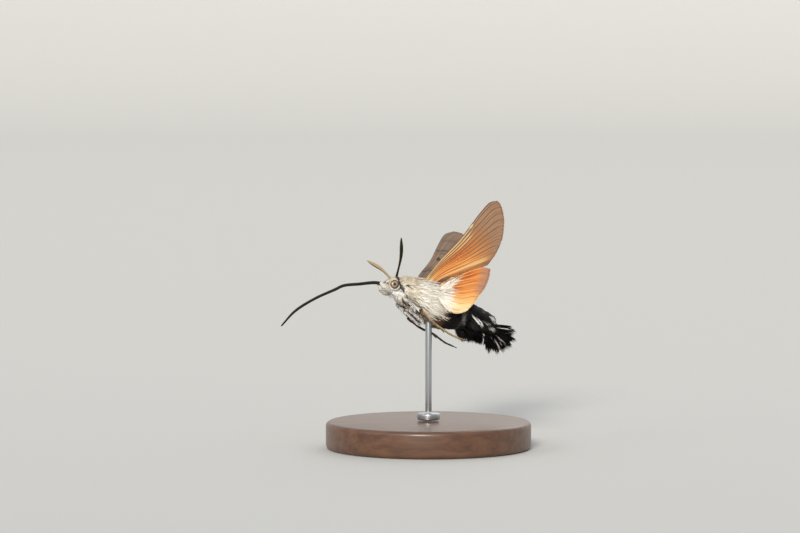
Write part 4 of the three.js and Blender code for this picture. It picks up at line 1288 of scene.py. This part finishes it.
class MOTH_OT_legs(bpy.types.Operator):
    """All six legs"""

    bl_idname = "moth.legs"
    bl_label = "Legs"

    def execute(self, context):
        """Makes thighs, shanks, spurs and the scales on them."""
        looks = context.scene.moth_coat
        # Close-lying scales: dull and slightly rough, with a faint sheen at the edge
        cover = painted_material("Close leg scales", 0.65, 0.15, 0.35, lump_mm=0.15)
        groups = []
        for side in SIDES:
            outward = mirrored([0, 0.9, 0.3], side)
            for name in THIGHS:
                colour = self.colour_of(name, outward, looks)
                thigh = tube_mesh(
                    f"{name}_thigh_{side}", mirrored(THIGHS[name], side), THIGH_RADII, colour,
                    around=16, along=40, reference=(0, 0, 1),
                )
                add_object(thigh, cover, "leg_scales")
                line = mirrored(SHANKS[name], side)
                shank = tube_mesh(
                    f"{name}_shank_{side}", line, SHANK_RADII, colour,
                    around=16, along=120, reference=(0, 0, 1), ribs=self.joints,
                )
                add_object(shank, cover, "leg_scales", (f"{name}leg_{side}",))
                groups.append(self.scales(line, outward, looks, hairy=name != "hind"))
            for number, line in enumerate(self.spurs(side)):
                spur = tube_mesh(
                    f"spur_{number}_{side}", line, SPUR_RADII, colour,
                    around=10, along=16, reference=(0, 0, 1),
                )
                add_object(spur, cover, "leg_scales")
        add_locks("leg_scales", groups, cover, "leg_scales")
        return {"FINISHED"}

    def colour_of(self, name, outward, looks):
        """The paint of a leg: cream outside, with painted shade that darkens it inside and below,
        and black at the foot.
        """
        hind = name == "hind"
        pale = toned(looks.cream, HIND_TONE if hind else 1)

        def colour(v, out):
            # Painted shade: the inner side, most of all on the hind legs, and the lower side are
            # darkened
            inner = smooth(0.25, -0.3, out @ outward) * (1.0 if hind else 0.15)
            return layered(pale, [
                (looks.black, inner),
                (toned(looks.brown, 0.4), 0.75 * smooth(0.2, -0.5, out[:, 2])),
                (looks.black, 0.8 * smooth(0.7, 0.95, v)),
            ])

        return colour

    def joints(self, v):
        """Slight waists between the joints of the foot."""
        return -0.22 * bump_at(np.mod(v * 12, 1), 0.5, 0.12) * (v > 0.5)

    def spurs(self, side):
        """Lines of the two pairs of spurs on a hind shank."""
        curve = limb_line(mirrored(SHANKS["hind"], side))
        for place in SPUR_PLACES:
            start = curve(np.array([place]))[0]
            tangent = unit(curve(np.array([place + 0.01]))[0] - start)
            for turn in (-1, 1):
                lie = unit(tangent + np.array([0, 0.25 * turn, -0.3]))
                yield [start + lie * SPUR_LENGTH * share for share in (0, 0.5, 1)]

    def scales(self, line, outward, looks, hairy):
        """Small scales that stand a little off a shank, or longer hair on the front legs."""
        count = LOCK_COUNTS["shank"]
        curve = limb_line(line)
        share = chance.uniform(0.02, 0.9, count)
        turn = chance.uniform(0, math.tau, count)
        tangent, out = limb_ring(curve, share, turn, 0.02, 0, (0, 0, 1))
        root = curve(share) + out * (limb_radius(share, SHANK_RADII) * 0.9)[:, None]
        lie = unit(tangent + out * chance.uniform(0.1, 0.4, (count, 1)))
        # On the hind legs the scales on the inner side are darkened as painted shade; on the front
        # legs the dark ones fall at random
        inner = chance.random(count) ** 2 if hairy else smooth(0.1, -0.3, out @ outward)
        pale = looks.white if hairy else toned(looks.cream, HIND_SCALE_TONE)
        colour = mix(toned(pale, 0.8), toned(looks.brown, 0.25), inner)
        colour = colour * chance.uniform(0.7, 1.1, (count, 1))
        length = chance.uniform(0.4, 0.8, count) if hairy else 0.28
        locks = make_locks(root, lie, out, colour, length, width=0.13, bend=0.1)
        return locks, patch_at(turn / math.tau, share)


def wing_place(wing, side, u, v, lift):
    """A place of a wing: u runs from root to margin, v from leading to trailing edge. Lift goes
    to the upper side."""
    sweep, stroke = (math.radians(angle) for angle in wing["sides"][side])
    flight = np.array([0, math.cos(stroke), math.sin(stroke)])
    span = flight * math.cos(sweep) + np.array([-math.sin(sweep), 0, 0])
    chord = flight * -math.sin(sweep) + np.array([-math.cos(sweep), 0, 0])
    rise = np.cross(span, chord)
    costa, margin, dorsum = (flat_line(wing[edge]) for edge in ("costa", "margin", "dorsum"))
    front, apex = np.array(wing["costa"][0]), np.array(wing["costa"][-1])
    back, corner = np.array(wing["dorsum"][0]), np.array(wing["dorsum"][-1])
    place = mix(costa(u), dorsum(u), v) + mix(mix(front, back, v), margin(v), u)
    place -= mix(mix(front, back, v), mix(apex, corner, v), u)
    x, y = place.T
    twist = np.radians(np.interp(x, [0, wing["length"]], wing["twist"]))[:, None]
    rear = chord * np.cos(twist) + rise * np.sin(twist)
    under = np.cross(rear, span)
    camber = wing["camber"] * np.sin(np.pi * v) * np.sin(np.pi * np.minimum(u + 0.15, 1))
    points = wing["root"] + span * x[:, None] + rear * y[:, None]
    points += under * (-lift - camber)[:, None]
    return mirrored(points, side), mirrored(-under, side)


def vein_at(wing, u, v):
    """1 on a vein and 0 beside it."""
    chord = wing["chords"][0] + (wing["chords"][1] - wing["chords"][0]) * u
    found = np.zeros_like(u)
    spread = smooth(*VEIN_SPREAD, u)
    for root, margin, start in wing["veins"]:
        away = np.abs(v - (root + (margin - root) * spread)) * chord
        line = 1 - smooth(VEIN_HALF_WIDTH * 0.25, VEIN_HALF_WIDTH, away)
        found = np.maximum(found, line * smooth(start - 0.05, start + 0.1, u))
    return found * (1 - 0.7 * smooth(0.9, 1, u))


def streaks(u, v, count, seed):
    """Soft streaks that run from root to margin, mostly within -1 to 1."""
    places = np.stack([v * count, u * 2.2, np.full_like(u, seed)], -1)
    fine = np.stack([v * count * 2.7, u * 4.5, np.full_like(u, seed + 7)], -1)
    return noise_at(places, 1) + 0.6 * noise_at(fine, 1)


def flecks(u, v, across_span, across_chord, seed):
    """Small flecks, so many to the span and to the chord, -1 to 1."""
    return noise_at(np.stack([u * across_span, v * across_chord, seed + 0 * u], -1), 1)


def spot_at(u, v, spot, inner):
    """1 in a spot, from that share of its reach down to 0 at its edge."""
    return 1 - smooth(inner, 1, np.hypot((u - spot[0]) / spot[2], (v - spot[1]) / spot[3]))


def forewing_under(u, v, looks):
    """Underside of the forewing: orange inside, taupe outside, pale streaks along the front."""
    streak = streaks(u, v, 24, 1)
    fleck = flecks(u, v, 60, 30, 0)
    past_edge = u - np.interp(v, *TAUPE_EDGE)
    deep = bump_at(u, 0.42, 0.32) * bump_at(v, 0.36, 0.3)
    golden = smooth(-0.5, 0.35, streak + 0.5 * bump_at(v, 0.35, 0.3))
    warm = layered(mix(looks.gold, looks.orange, golden), [
        (looks.rust, np.clip(0.85 * deep * smooth(-0.6, 0.4, streak + fleck), 0, 1)),
        (looks.cream, 0.35 * smooth(0.2, 0.0, u)),
        (looks.vein, 0.25 * smooth(0.1, 0.7, fleck)),
    ])
    shade = smooth(-0.7, 0.7, streak + 0.6 * fleck)
    outside = mix(toned(looks.taupe, 0.85), toned(looks.taupe, 1.12), shade)
    outside = mix(outside, toned(looks.orange, 0.6), 0.5 * smooth(0.2, 0.0, past_edge))
    front = smooth(0.66, 0.56, u) * smooth(0.0, 0.04, v) * smooth(0.26, 0.15, v)
    comb = np.sin((v - 0.015) * math.tau / 0.075)
    rear = bump_at(v, 0.86, 0.07) * smooth(0.05, 0.2, u) * smooth(0.98, 0.8, u)
    return layered(warm, [
        (outside, smooth(-0.24, 0.12, past_edge + 0.09 * streak)),
        (toned(looks.cream, 0.8), 0.2 * vein_at(FOREWING, u, np.clip(v - 0.012, 0, 1))),
        (toned(looks.vein, 0.75), 0.8 * vein_at(FOREWING, u, v)),
        (looks.cream, 0.6 * front * smooth(-0.2, 0.5, comb)),
        (looks.vein, 0.75 * front * smooth(0.3, 0.9, -comb)),
        (looks.cream, 0.8 * spot_at(u, v, FRONT_SPOT, 0.5)),
        (looks.cream, 0.5 * rear),
        (looks.vein, 0.6 * bump_at(v, 0.955, 0.035) * smooth(0.1, 0.3, u)),
        (toned(looks.marking, 0.8), 0.9 * smooth(0.022, 0.01, v)),
    ])


def forewing_upper(u, v, looks):
    """Upper side of the forewing: grey-brown with dark wavy cross lines and one dark spot."""
    streak = streaks(u, v, 12, 3)
    shade = 0.7 * smooth(-0.5, 0.7, streak + 0.5 * flecks(u, v, 60, 30, 4))
    colour = mix(looks.upper, toned(looks.upper, 0.68), shade)
    wave = 0.02 * np.sin(v * 22) + 0.015 * streak
    for place, reach, strength in CROSS_LINES:
        colour = mix(colour, looks.marking, strength * bump_at(u + wave - 0.1 * v, place, reach))
    middle = smooth(0.36, 0.4, u - 0.1 * v) * smooth(0.62, 0.58, u - 0.1 * v)
    return layered(colour, [
        (toned(looks.upper, 1.25), 0.35 * middle),
        (toned(looks.marking, 0.4), 0.95 * spot_at(u, v, UPPER_SPOT, 0.6)),
        (looks.marking, 0.4 * vein_at(FOREWING, u, v)),
        (looks.marking, 0.5 * smooth(0.965, 0.995, u)),
    ])


def hindwing_under(u, v, looks):
    """Underside of the hindwing: white root, orange fan, cream lobe and brown border."""
    streak = streaks(u, v, 20, 5)
    fleck = flecks(u, v, 40, 34, 8)
    comb = np.sin(v * 14 * math.tau + 2.4 * streak)
    deep = np.maximum(bump_at(v, 0.33, 0.14) * bump_at(u, 0.42, 0.24),
                      bump_at(v, 0.1, 0.24) * bump_at(u, 0.6, 0.34))
    lines = smooth(-0.7, 0.4, streak - comb * 0.5 + 0.3 * fleck)
    border = smooth(0.78, 0.96, u + 0.05 * streak) * smooth(0.66, 0.42, v)
    lobe = smooth(0.5, 0.86, v + 0.09 * streak - 0.12 * u)
    lobe_colour = mix(looks.cream, looks.gold, 0.45 * smooth(0.1, 0.9, comb * 0.5 + streak))
    reach = np.interp(v, *WHITE_REACH)
    root = 1 - smooth(reach * 0.3, reach * 1.3, u + 0.2 * streak)
    patch = smooth(0.24, 0.08, v + 0.05 * streak) * smooth(0.08, 0.18, u) * smooth(0.56, 0.4, u)
    fur = mix(toned(looks.upper, 0.6), looks.cream, smooth(-0.3, 0.5, streak + 0.5 * fleck))
    line = vein_at(HINDWING, u, v) * smooth(0.15, 0.3, u) * (1 - 0.7 * lobe)
    return layered(looks.orange, [
        (looks.gold, smooth(-0.1, 0.9, comb * 0.6 + streak * 0.6)),
        (looks.rust, np.clip((0.3 + 0.7 * deep) * lines, 0, 1)),
        (looks.gold, 0.8 * smooth(0.36, 0.66, v + 0.06 * streak)),
        (looks.border, 0.9 * border),
        (lobe_colour, 0.95 * lobe),
        (looks.white, root),
        (looks.upper, 0.45 * smooth(0.25, 0.7, streak) * smooth(0.5, 0.1, u)),
        (looks.border, 0.45 * bump_at(v, 0.94, 0.06) * bump_at(u, 0.6, 0.4)),
        (fur, 0.85 * patch),
        (toned(looks.vein, (1.4, 1.0, 0.8)), 0.5 * line),
    ])


def hindwing_upper(u, v, looks):
    """Upper side of the hindwing: orange with a dark border and a darker root."""
    streak = streaks(u, v, 12, 8)
    return layered(looks.orange, [
        (looks.gold, smooth(-0.2, 0.9, streak)),
        (looks.marking, 0.75 * smooth(0.84, 0.97, u + 0.03 * streak)),
        (looks.marking, 0.55 * smooth(0.16, 0.0, u)),
        (looks.vein, 0.35 * vein_at(HINDWING, u, v)),
    ])


class MOTH_OT_wings(bpy.types.Operator):
    """All four wings and their fringes"""

    bl_idname = "moth.wings"
    bl_label = "Wings"

    def execute(self, context):
        """Makes each wing as a thin sheet that is raised along its veins."""
        looks = context.scene.moth_wings
        # Overlapping flat scales, dull and silky. The real ones are 0.1 mm long and are drawn
        # at about 0.2 mm, in rows across the wing.
        scales = painted_material("Wing scales", 0.6, 0.2, 0.6, rows=SCALE_ROWS)
        kinds = (
            ("forewing", FOREWING, forewing_under, forewing_upper),
            ("hindwing", HINDWING, hindwing_under, hindwing_upper),
        )
        for kind, wing, under, upper in kinds:
            for side in SIDES:
                mesh = self.sheet(f"{kind}_sheet_{side}", wing, side, under, upper, looks)
                add_object(mesh, scales, f"{kind}_scales", (f"{kind}_{side}",))
                self.fringe(kind, wing, side, under, looks, scales)
                self.root_hair(kind, wing, side, looks, scales)
        return {"FINISHED"}

    def sheet(self, name, wing, side, under, upper, looks):
        """Both faces of a wing, closed along the rim."""

        def shape(u, v, face):
            vein = vein_at(wing, u, v)
            inner = smooth(0, 0.03, np.minimum(np.minimum(v, 1 - v), 1 - u))
            half = (WING_HALF_THICKNESS + VEIN_RISE * vein) * inner * smooth(0, 0.01, u)
            ripple = 0.05 * noise_at(np.stack([u * 5, v * 22, 0 * u], -1), 1) * inner
            places, _ = wing_place(wing, side, u, v, face * half + ripple)
            colour = np.where((face > 0)[:, None], upper(u, v, looks), under(u, v, looks))
            return places, np.clip(colour, 0, 1)

        columns = round(wing["length"] * WING_COLUMNS_PER_MM)
        return formed_mesh(name, columns, WING_ROWS, shape, faces=(1, -1))

    def root_hair(self, kind, wing, side, looks, scales):
        """Hair on the underside that fans out from a wing's root."""
        groups = []
        for count, u_range, v_range, length, dark, lean, pale in ROOT_HAIR[kind]:
            u = u_range[0] + (u_range[1] - u_range[0]) * chance.random(count) ** 1.8
            v = chance.uniform(*v_range, count)
            place, upper = wing_place(wing, side, u, v, -0.05)
            ahead, _ = wing_place(wing, side, u + 0.05, v, -0.05)
            front, _ = wing_place(wing, side, u, v - 0.05, -0.05)
            lie = unit(unit(ahead - place) - upper * chance.uniform(0.03, 0.14, (count, 1))
                       + unit(front - place) * lean
                       + chance.normal(0, 0.07, (count, 3)))
            tone = chance.uniform(0.85, 1.05, (count, 1))
            shaded = (chance.random(count) < dark)[:, None]
            colour = np.where(shaded, looks.border, getattr(looks, pale)) * tone
            locks = make_locks(
                place, lie, -upper, colour, length * chance.uniform(0.5, 1.15, count),
                width=0.09, bend=0.1, sway=chance.normal(0, 0.1, count), flatness=0.2,
            )
            groups.append((locks, patch_at(u, v)))
        add_locks(f"{kind}_root_hair_{side}", groups, scales, f"{kind}_scales")

    def fringe(self, kind, wing, side, under, looks, scales):
        """Short scales along the outer margin and the trailing edge."""
        count = LOCK_COUNTS["fringe"]
        edge = chance.random(count)
        on_margin = edge < FRINGE_ON_MARGIN
        behind = (1 - edge) / (1 - FRINGE_ON_MARGIN)
        v = np.where(on_margin, edge / FRINGE_ON_MARGIN, 1.0)
        u = np.where(on_margin, 1.0, FRINGE_START + (1 - FRINGE_START) * behind)
        place, out = wing_place(wing, side, u, v, 0)
        inside, _ = wing_place(wing, side, np.where(on_margin, u - 0.03, u),
                               np.where(on_margin, v, v - 0.03), 0)
        lie = unit(unit(place - inside) + chance.normal(0, 0.12, (count, 3)))
        colour = under(u * 0.98, np.clip(v, 0.02, 0.98), looks)
        colour = colour * chance.uniform(0.75, 1.1, (count, 1))
        length = chance.uniform(0.25, 0.45, count)
        locks = make_locks(place - lie * 0.1, lie, out, colour, length, width=0.12, bend=0.0)
        group = locks, patch_at(v, u)
        add_locks(f"{kind}_fringe_{side}", [group], scales, f"{kind}_scales")


class MOTH_OT_stand(bpy.types.Operator):
    """Walnut base, collar and rod"""

    bl_idname = "moth.stand"
    bl_label = "Stand"

    def execute(self, context):
        """Turns the round pieces of the stand with finer edges."""
        parts = context.scene.moth_parts
        walnut, steel = self.walnut(parts), self.steel(parts)
        for name, radius, ends, rounding, material, slot in (
            ("base", BASE_RADIUS, (0, BASE_THICKNESS), BASE_CHAMFER, walnut, "walnut"),
            ("collar", COLLAR_RADIUS, COLLAR_ENDS, COLLAR_ROUNDING, steel, "stand_steel"),
            ("rod", ROD_RADIUS, ROD_ENDS, ROD_ROUNDING, steel, "stand_steel"),
        ):
            mesh = self.turned(f"display_{name}", radius, ends, rounding)
            add_object(mesh, material, slot, (f"stand_{name}",))
        return {"FINISHED"}

    def turned(self, name, radius, ends, rounding):
        """A round piece between two heights, with rounded edges."""
        low, high = ends
        work = bmesh.new()
        bmesh.ops.create_cone(
            work, cap_ends=True, segments=96, radius1=radius * MM, radius2=radius * MM,
            depth=(high - low) * MM, matrix=Matrix.Translation((0, 0, (low + high) / 2 * MM)),
        )
        rims = [e for e in work.edges if abs(e.verts[0].co.z - e.verts[1].co.z) < 1e-9]
        bmesh.ops.bevel(
            work, geom=rims, offset=rounding * MM, affect="EDGES", segments=4, profile=0.5,
            material=-1,
        )
        bmesh.ops.recalc_face_normals(work, faces=work.faces)
        return finished_mesh(name, work)

    def walnut(self, parts):
        """Oiled walnut: dark wavy grain under a satin varnish, so the grain shows through a soft
        shine. The grain lines are 1.2 mm apart."""
        material, tree = new_material("Oiled walnut")
        place = add_node(tree, "ShaderNodeTexCoord").outputs["Object"]
        apart = 1 / (WALNUT_LINES * MM)
        grain = add_grain(tree, place, (0.12 / MM, apart, apart), 5.0, 0.6)
        ramp = add_node(
            tree, "ShaderNodeMix", {"data_type": "RGBA"},
            {"Factor": grain, "A": (*parts.wood_dark, 1), "B": (*parts.wood_light, 1)},
        )
        relief = add_node(
            tree, "ShaderNodeBump",
            inputs={"Height": grain, "Strength": 0.15, "Distance": 0.05 * MM},
        )
        close_material(tree, {
            "Base Color": ramp.outputs["Result"], "Roughness": 0.42, "Coat Weight": 0.3,
            "Coat Roughness": 0.25, "Normal": relief.outputs["Normal"],
        })
        return material

    def steel(self, parts):
        """Fine brushed steel: a grey metal whose highlights are drawn out by fine lines round it."""
        material, tree = new_material("Brushed steel")
        place = add_node(tree, "ShaderNodeTexCoord").outputs["Object"]
        lines = add_grain(tree, place, (0.5 / MM, 0.5 / MM, 1 / (0.08 * MM)), 2.0)
        rough = add_node(
            tree, "ShaderNodeMapRange", inputs={"Value": lines, "To Min": 0.24, "To Max": 0.42},
        )
        close_material(tree, {
            "Base Color": (*parts.steel, 1), "Metallic": 1.0, "Roughness": rough.outputs["Result"],
        })
        return material


class MOTH_OT_stage(bpy.types.Operator):
    """Floor, lights and camera"""

    bl_idname = "moth.stage"
    bl_label = "Stage"

    def execute(self, context):
        """Makes a pale bowl of a floor, soft lights and the photo's camera."""
        self.floor(context.scene.moth_parts)
        self.lights()
        self.camera()
        context.scene.view_settings.view_transform = "Standard"
        return {"FINISHED"}

    def floor(self, parts):
        """A round floor that curves up to a far wall on every side."""
        work = bmesh.new()
        low = -0.05 * MM
        flat = FLOOR_RADIUS - FLOOR_BEND
        profile = [(0, low), (0.3, low), (flat, low)]
        for step in range(1, BEND_STEPS + 1):
            angle = math.pi / 2 * step / BEND_STEPS
            rise = FLOOR_BEND * (1 - math.cos(angle))
            profile.append((flat + FLOOR_BEND * math.sin(angle), low + rise))
        profile.append((FLOOR_RADIUS, WALL_HEIGHT))
        points = [work.verts.new((r, 0, z)) for r, z in profile]
        edges = [work.edges.new(pair) for pair in zip(points, points[1:])]
        bmesh.ops.spin(
            work, geom=points + edges, cent=(0, 0, 0), axis=(0, 0, 1), angle=math.tau,
            steps=96, use_merge=True,
        )
        bmesh.ops.remove_doubles(work, verts=work.verts, dist=1e-5)
        bmesh.ops.recalc_face_normals(work, faces=work.faces)
        if sum(f.normal.z for f in work.faces if f.calc_center_median().z < 0) < 0:
            bmesh.ops.reverse_faces(work, faces=work.faces)
        mesh = finished_mesh("studio_floor", work)
        mesh.shade_smooth()
        material, tree = new_material("Pale studio paper")
        close_material(tree, {
            "Base Color": (*parts.floor, 1), "Roughness": 0.9, "Specular IOR Level": 0.1,
        })
        mesh.materials.append(material)
        ground = bpy.data.objects.new("studio_floor", mesh)
        bpy.context.scene.collection.objects.link(ground)

    def lights(self):
        """A soft key from the camera's upper left, a fill, a rim and an even sky."""
        world = bpy.data.worlds.new("Soft sky")
        world.use_nodes = True
        sky = world.node_tree.nodes["Background"].inputs
        sky["Color"].default_value = SKY
        sky["Strength"].default_value = SKY_STRENGTH
        bpy.context.scene.world = world
        for name, place, softness, strength, colour in SUNS:
            lamp = bpy.data.lights.new(name, "SUN")
            lamp.angle = math.radians(softness)
            lamp.energy = strength
            lamp.color = colour
            holder = bpy.data.objects.new(name, lamp)
            holder.location = place
            holder.rotation_euler = (-Vector(place)).to_track_quat("-Z", "Y").to_euler()
            bpy.context.scene.collection.objects.link(holder)

    def camera(self):
        """The photo's view: a long lens that looks four degrees down on the moth."""
        lens = bpy.data.cameras.new("photo_view")
        lens.lens = CAMERA_LENS
        lens.sensor_width = 36
        lens.clip_start = 0.05
        lens.clip_end = 20
        holder = bpy.data.objects.new("photo_view", lens)
        holder.location = [place * MM for place in CAMERA_PLACE]
        holder.rotation_euler = (math.radians(CAMERA_TILT), 0, 0)
        bpy.context.scene.collection.objects.link(holder)
        bpy.context.scene.camera = holder


OPERATORS = (
    MOTH_OT_skin, MOTH_OT_coat, MOTH_OT_tail, MOTH_OT_eyes, MOTH_OT_feelers, MOTH_OT_legs,
    MOTH_OT_wings, MOTH_OT_stand, MOTH_OT_stage,
)


class MOTH_PT_parts(bpy.types.Panel):
    """Lists the pieces of the moth"""

    bl_idname = "MOTH_PT_parts"
    bl_label = "Hawk moth"
    bl_space_type = "VIEW_3D"
    bl_region_type = "UI"
    bl_category = "Moth"

    def draw(self, context):
        """One button for each group of pieces, then the settings."""
        for kind in OPERATORS:
            self.layout.operator(kind.bl_idname)
        for group in (context.scene.moth_coat, context.scene.moth_wings, context.scene.moth_parts):
            box = self.layout.box()
            for name in group.__annotations__:
                box.prop(group, name)


SETTINGS = {
    "moth_coat": MothCoatSettings,
    "moth_wings": MothWingSettings,
    "moth_parts": MothPartSettings,
}


def register():
    """Adds the classes and the scene's settings to Blender."""
    for kind in (*SETTINGS.values(), *OPERATORS, MOTH_PT_parts):
        bpy.utils.register_class(kind)
    for name, kind in SETTINGS.items():
        setattr(bpy.types.Scene, name, bpy.props.PointerProperty(type=kind))


def unregister():
    """Takes them out again."""
    for name in SETTINGS:
        delattr(bpy.types.Scene, name)
    for kind in reversed((*SETTINGS.values(), *OPERATORS, MOTH_PT_parts)):
        bpy.utils.unregister_class(kind)


def main():
    """Builds everything."""
    register()
    bpy.ops.moth.skin()
    bpy.ops.moth.coat()
    bpy.ops.moth.tail()
    bpy.ops.moth.eyes()
    bpy.ops.moth.feelers()
    bpy.ops.moth.legs()
    bpy.ops.moth.wings()
    bpy.ops.moth.stand()
    bpy.ops.moth.stage()


if __name__ == "__main__":
    main()
